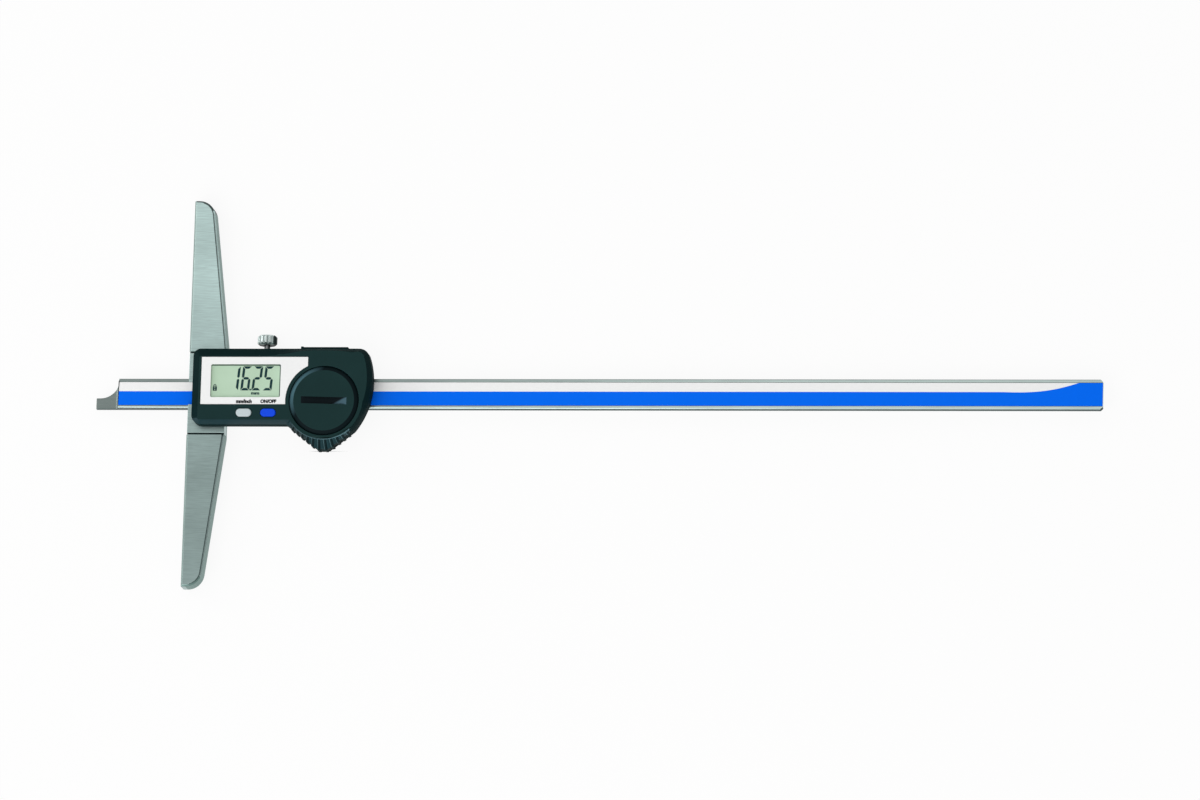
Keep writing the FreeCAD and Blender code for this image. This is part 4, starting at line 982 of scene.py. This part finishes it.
def display_digits():
    """The reading: four seven-bar digits and a decimal point."""
    bars = segment_outlines(DIGIT_WIDTH, DIGIT_HEIGHT, DIGIT_STROKE, DIGIT_GAP)
    shape = bmesh.new()
    for place, digit in enumerate(READING):
        left = LAST_DIGIT_LEFT - (len(READING) - 1 - place) * DIGIT_PITCH
        for letter in SEGMENTS[digit]:
            outline = [slanted(left + x, DIGIT_BOTTOM + y) for x, y in bars[letter]]
            add_prism(shape, outline, PICTURE_TOP, PICTURE_TOP + PRINT_THICK)
    x = LAST_DIGIT_LEFT - DIGIT_PITCH - (DIGIT_PITCH - DIGIT_WIDTH + DECIMAL_SIZE) / 2
    dot = rectangle(x, DIGIT_BOTTOM, x + DECIMAL_SIZE, DIGIT_BOTTOM + DECIMAL_SIZE)
    outline = [slanted(*corner) for corner in dot]
    add_prism(shape, outline, PICTURE_TOP, PICTURE_TOP + PRINT_THICK)
    new_piece("display_digits", shape, "slider", CRYSTAL_INK_AND_SHADE)


def display_shades():
    """A painted shadow along the picture's top and right side, and a darker painted shadow in its
    corner.
    """
    low, high = WINDOW_LOW, WINDOW_HIGH
    shape = bmesh.new()
    inner = high.y - SHADE_WIDTH
    top = rectangle(low.x, inner, high.x, high.y)
    right = rectangle(high.x - SHADE_WIDTH, low.y, high.x, inner)
    for outline in (top, right):
        add_prism(shape, outline, PICTURE_TOP, PICTURE_TOP + PRINT_THICK)
    new_piece("display_shades", shape, "slider", CRYSTAL_SHADE)
    # Painted shadow, darker, in the picture's top right corner
    corner = bmesh.new()
    square = rectangle(high.x - CORNER_SHADE, high.y - CORNER_SHADE, high.x, high.y)
    add_prism(corner, square, PICTURE_TOP + PRINT_THICK, PICTURE_TOP + 2 * PRINT_THICK)
    new_piece("display_corner_shade", corner, "slider", CRYSTAL_INK_AND_SHADE)


def padlock():
    """The small padlock sign at the left of the display: a body round two keyholes, and a shackle."""
    x, y = PADLOCK_PLACE
    wide, tall = PADLOCK_SIZE
    middle, top = x + wide / 2, y + tall
    hole_left, hole_right = middle - KEYHOLE_HALF, middle + KEYHOLE_HALF
    outlines = [rectangle(x, y, hole_left, top), rectangle(hole_right, y, x + wide, top)]
    for low in (y, y + tall / 2 - KEYHOLE_HALF, top - 2 * KEYHOLE_HALF):
        outlines.append(rectangle(hole_left, low, hole_right, low + 2 * KEYHOLE_HALF))
    turn_y = top + SHACKLE_RISE
    for index in range(SHACKLE_STEPS):
        start, end = (math.pi * step / SHACKLE_STEPS for step in (index, index + 1))
        ring = (
            (SHACKLE_OUTER, start), (SHACKLE_OUTER, end), (SHACKLE_INNER, end), (SHACKLE_INNER, start)
        )
        outlines.append([(middle + r * math.cos(a), turn_y + r * math.sin(a)) for r, a in ring])
    for side in (-1, 1):
        left, right = sorted((middle + side * SHACKLE_OUTER, middle + side * SHACKLE_INNER))
        outlines.append(rectangle(left, top, right, turn_y))
    shape = bmesh.new()
    for outline in outlines:
        add_prism(shape, outline, PICTURE_TOP, PICTURE_TOP + PRINT_THICK)
    new_piece("display_padlock", shape, "slider", CRYSTAL_INK_AND_SHADE)


def lettering(name, words, centre, size, base, material, weight):
    """Printed words of a given width and height, centred on a place, as thin raised ink."""
    curve = bpy.data.curves.new(name, "FONT")
    curve.body = words
    curve.align_x = "CENTER"
    curve.align_y = "CENTER"
    curve.offset = weight
    curve.resolution_u = LETTER_STEPS
    drawn = bpy.data.objects.new(name, curve)
    bpy.context.scene.collection.objects.link(drawn)
    bpy.context.view_layer.update()
    mesh = bpy.data.meshes.new_from_object(drawn)
    bpy.data.objects.remove(drawn)
    shape = bmesh.new()
    shape.from_mesh(mesh)
    bpy.data.meshes.remove(mesh)
    across = [vert.co.x for vert in shape.verts]
    upwards = [vert.co.y for vert in shape.verts]
    left, right, bottom, top = min(across), max(across), min(upwards), max(upwards)
    x_scale, y_scale = size[0] / (right - left), size[1] / (top - bottom)
    for vert in shape.verts:
        x = centre[0] + (vert.co.x - (left + right) / 2) * x_scale
        y = centre[1] + (vert.co.y - (bottom + top) / 2) * y_scale
        vert.co = mm(x, y, base)
    raised = bmesh.ops.extrude_face_region(shape, geom=shape.faces[:])
    lifted = [item for item in raised["geom"] if isinstance(item, bmesh.types.BMVert)]
    bmesh.ops.translate(shape, verts=lifted, vec=mm(0, 0, PRINT_THICK))
    new_piece(name, shape, "slider", material)


def label_words():
    """What the two buttons do, printed under the window, and the unit in the display."""
    top = node_box("front_label")[1].z
    for name, words, node, size in BUTTON_WORDS:
        low, high = node_box(node)
        place = ((low.x + high.x) / 2, WORDS_Y)
        lettering(name, words, place, size, top, BLACK_INK, WORDS_WEIGHT)
    lettering(
        "display_unit", "mm", UNIT_PLACE, UNIT_SIZE, PICTURE_TOP, CRYSTAL_INK_AND_SHADE, UNIT_WEIGHT,
    )


# Stage
def floor():
    """A plain white floor that keeps the object's shadow."""
    shape = bmesh.new()
    corners = rectangle(-FLOOR_HALF, -FLOOR_HALF, FLOOR_HALF, FLOOR_HALF)
    shape.faces.new([shape.verts.new(mm(x, y, FLOOR_LEVEL)) for x, y in corners])
    mesh = bpy.data.meshes.new("floor")
    shape.to_mesh(mesh)
    shape.free()
    ground = bpy.data.objects.new("floor", mesh)
    bpy.context.scene.collection.objects.link(ground)
    material = bpy.data.materials.new("floor")
    material.use_nodes = True
    tree = material.node_tree
    shader = tree.nodes["Principled BSDF"]
    shader.inputs["Base Color"].default_value = grey(FLOOR_TONE)
    shader.inputs["Roughness"].default_value = FLOOR_ROUGHNESS
    shader.inputs["Specular IOR Level"].default_value = 0.0
    mesh.materials.append(material)
    white = tree.nodes.new("ShaderNodeEmission")
    mix = tree.nodes.new("ShaderNodeMixShader")
    share = tree.nodes.new("ShaderNodeMath")
    share.operation = "MULTIPLY"
    share.inputs[1].default_value = FLOOR_GLOW
    tree.links.new(seen_directly(tree), share.inputs[0])
    tree.links.new(share.outputs[0], mix.inputs["Fac"])
    tree.links.new(shader.outputs["BSDF"], mix.inputs[1])
    tree.links.new(white.outputs["Emission"], mix.inputs[2])
    tree.links.new(mix.outputs["Shader"], tree.nodes["Material Output"].inputs["Surface"])


def seen_directly(tree):
    """One for rays from the camera, and for those that reach it by a reflection or through glass."""
    path = tree.nodes.new("ShaderNodeLightPath")
    total = path.outputs["Is Camera Ray"]
    for name in ("Is Glossy Ray", "Is Transmission Ray"):
        either = tree.nodes.new("ShaderNodeMath")
        either.operation = "MAXIMUM"
        tree.links.new(total, either.inputs[0])
        tree.links.new(path.outputs[name], either.inputs[1])
        total = either.outputs[0]
    return total


def sky():
    """Soft studio light: a broad ring halfway up, quieter overhead and below, weaker on the right."""
    world = bpy.data.worlds.new("studio")
    world.use_nodes = True
    tree = world.node_tree
    place = tree.nodes.new("ShaderNodeTexCoord")
    split = tree.nodes.new("ShaderNodeSeparateXYZ")
    ring = tree.nodes.new("ShaderNodeValToRGB")
    ring.color_ramp.interpolation = "B_SPLINE"
    fill_ramp(ring, SKY_RING)
    side = tree.nodes.new("ShaderNodeMapRange")
    side.inputs["From Min"].default_value = -1.0
    side.inputs["To Min"].default_value = SKY_LEFT
    side.inputs["To Max"].default_value = SKY_RIGHT
    tree.links.new(place.outputs["Generated"], split.inputs["Vector"])
    tree.links.new(split.outputs["Z"], ring.inputs["Fac"])
    tree.links.new(split.outputs["X"], side.inputs["Value"])
    tree.links.new(ring.outputs["Color"], tree.nodes["Background"].inputs["Color"])
    tree.links.new(side.outputs["Result"], tree.nodes["Background"].inputs["Strength"])
    bpy.context.scene.world = world


def softbox(name, place, size, power):
    """A square lamp with a power in watts that faces the display unit."""
    data = bpy.data.lights.new(name, "AREA")
    data.size = mm(size)
    data.energy = power
    lamp = bpy.data.objects.new(name, data)
    lamp.location = mm(*place)
    aim = mm(*LAMP_AIM) - lamp.location
    lamp.rotation_euler = aim.to_track_quat("-Z", "Y").to_euler()
    bpy.context.scene.collection.objects.link(lamp)


def camera():
    """The photograph's view: a long lens from above, a little to the right and below."""
    azimuth, elevation = math.radians(CAMERA_AZIMUTH), math.radians(CAMERA_ELEVATION)
    back = Vector((
        math.sin(azimuth) * math.cos(elevation),
        -math.cos(azimuth) * math.cos(elevation),
        math.sin(elevation),
    ))
    right = (Vector((1, 0, 0)) - back * back.x).normalized()
    up = back.cross(right)
    roll = math.radians(CAMERA_ROLL)
    turned_right = right * math.cos(roll) + up * math.sin(roll)
    turned_up = up * math.cos(roll) - right * math.sin(roll)
    data = bpy.data.cameras.new("camera")
    data.lens = CAMERA_LENS
    data.sensor_width = CAMERA_SENSOR
    data.clip_end = mm(CAMERA_REACH)
    seen_from = bpy.data.objects.new("camera", data)
    turn = Matrix((turned_right, turned_up, back)).transposed().to_4x4()
    place = mm(*CAMERA_TARGET) + back * mm(CAMERA_DISTANCE)
    seen_from.matrix_world = Matrix.Translation(place) @ turn
    bpy.context.scene.collection.objects.link(seen_from)
    bpy.context.scene.camera = seen_from


def main():
    dress_nodes()
    steel_pieces()
    moulded_pieces()
    knob_piece()
    for node in ("bridge_screws", "housing_screws", "stop_screw"):
        back_screws(node)
    for node in ("unit_button", "power_button"):
        eased(node, SMALL_EDGE)
    beam_stripe()
    display_picture()
    display_digits()
    display_shades()
    padlock()
    label_words()
    floor()
    sky()
    for lamp in LAMPS:
        softbox(*lamp)
    camera()
    bpy.context.scene.view_settings.view_transform = "Standard"


main()
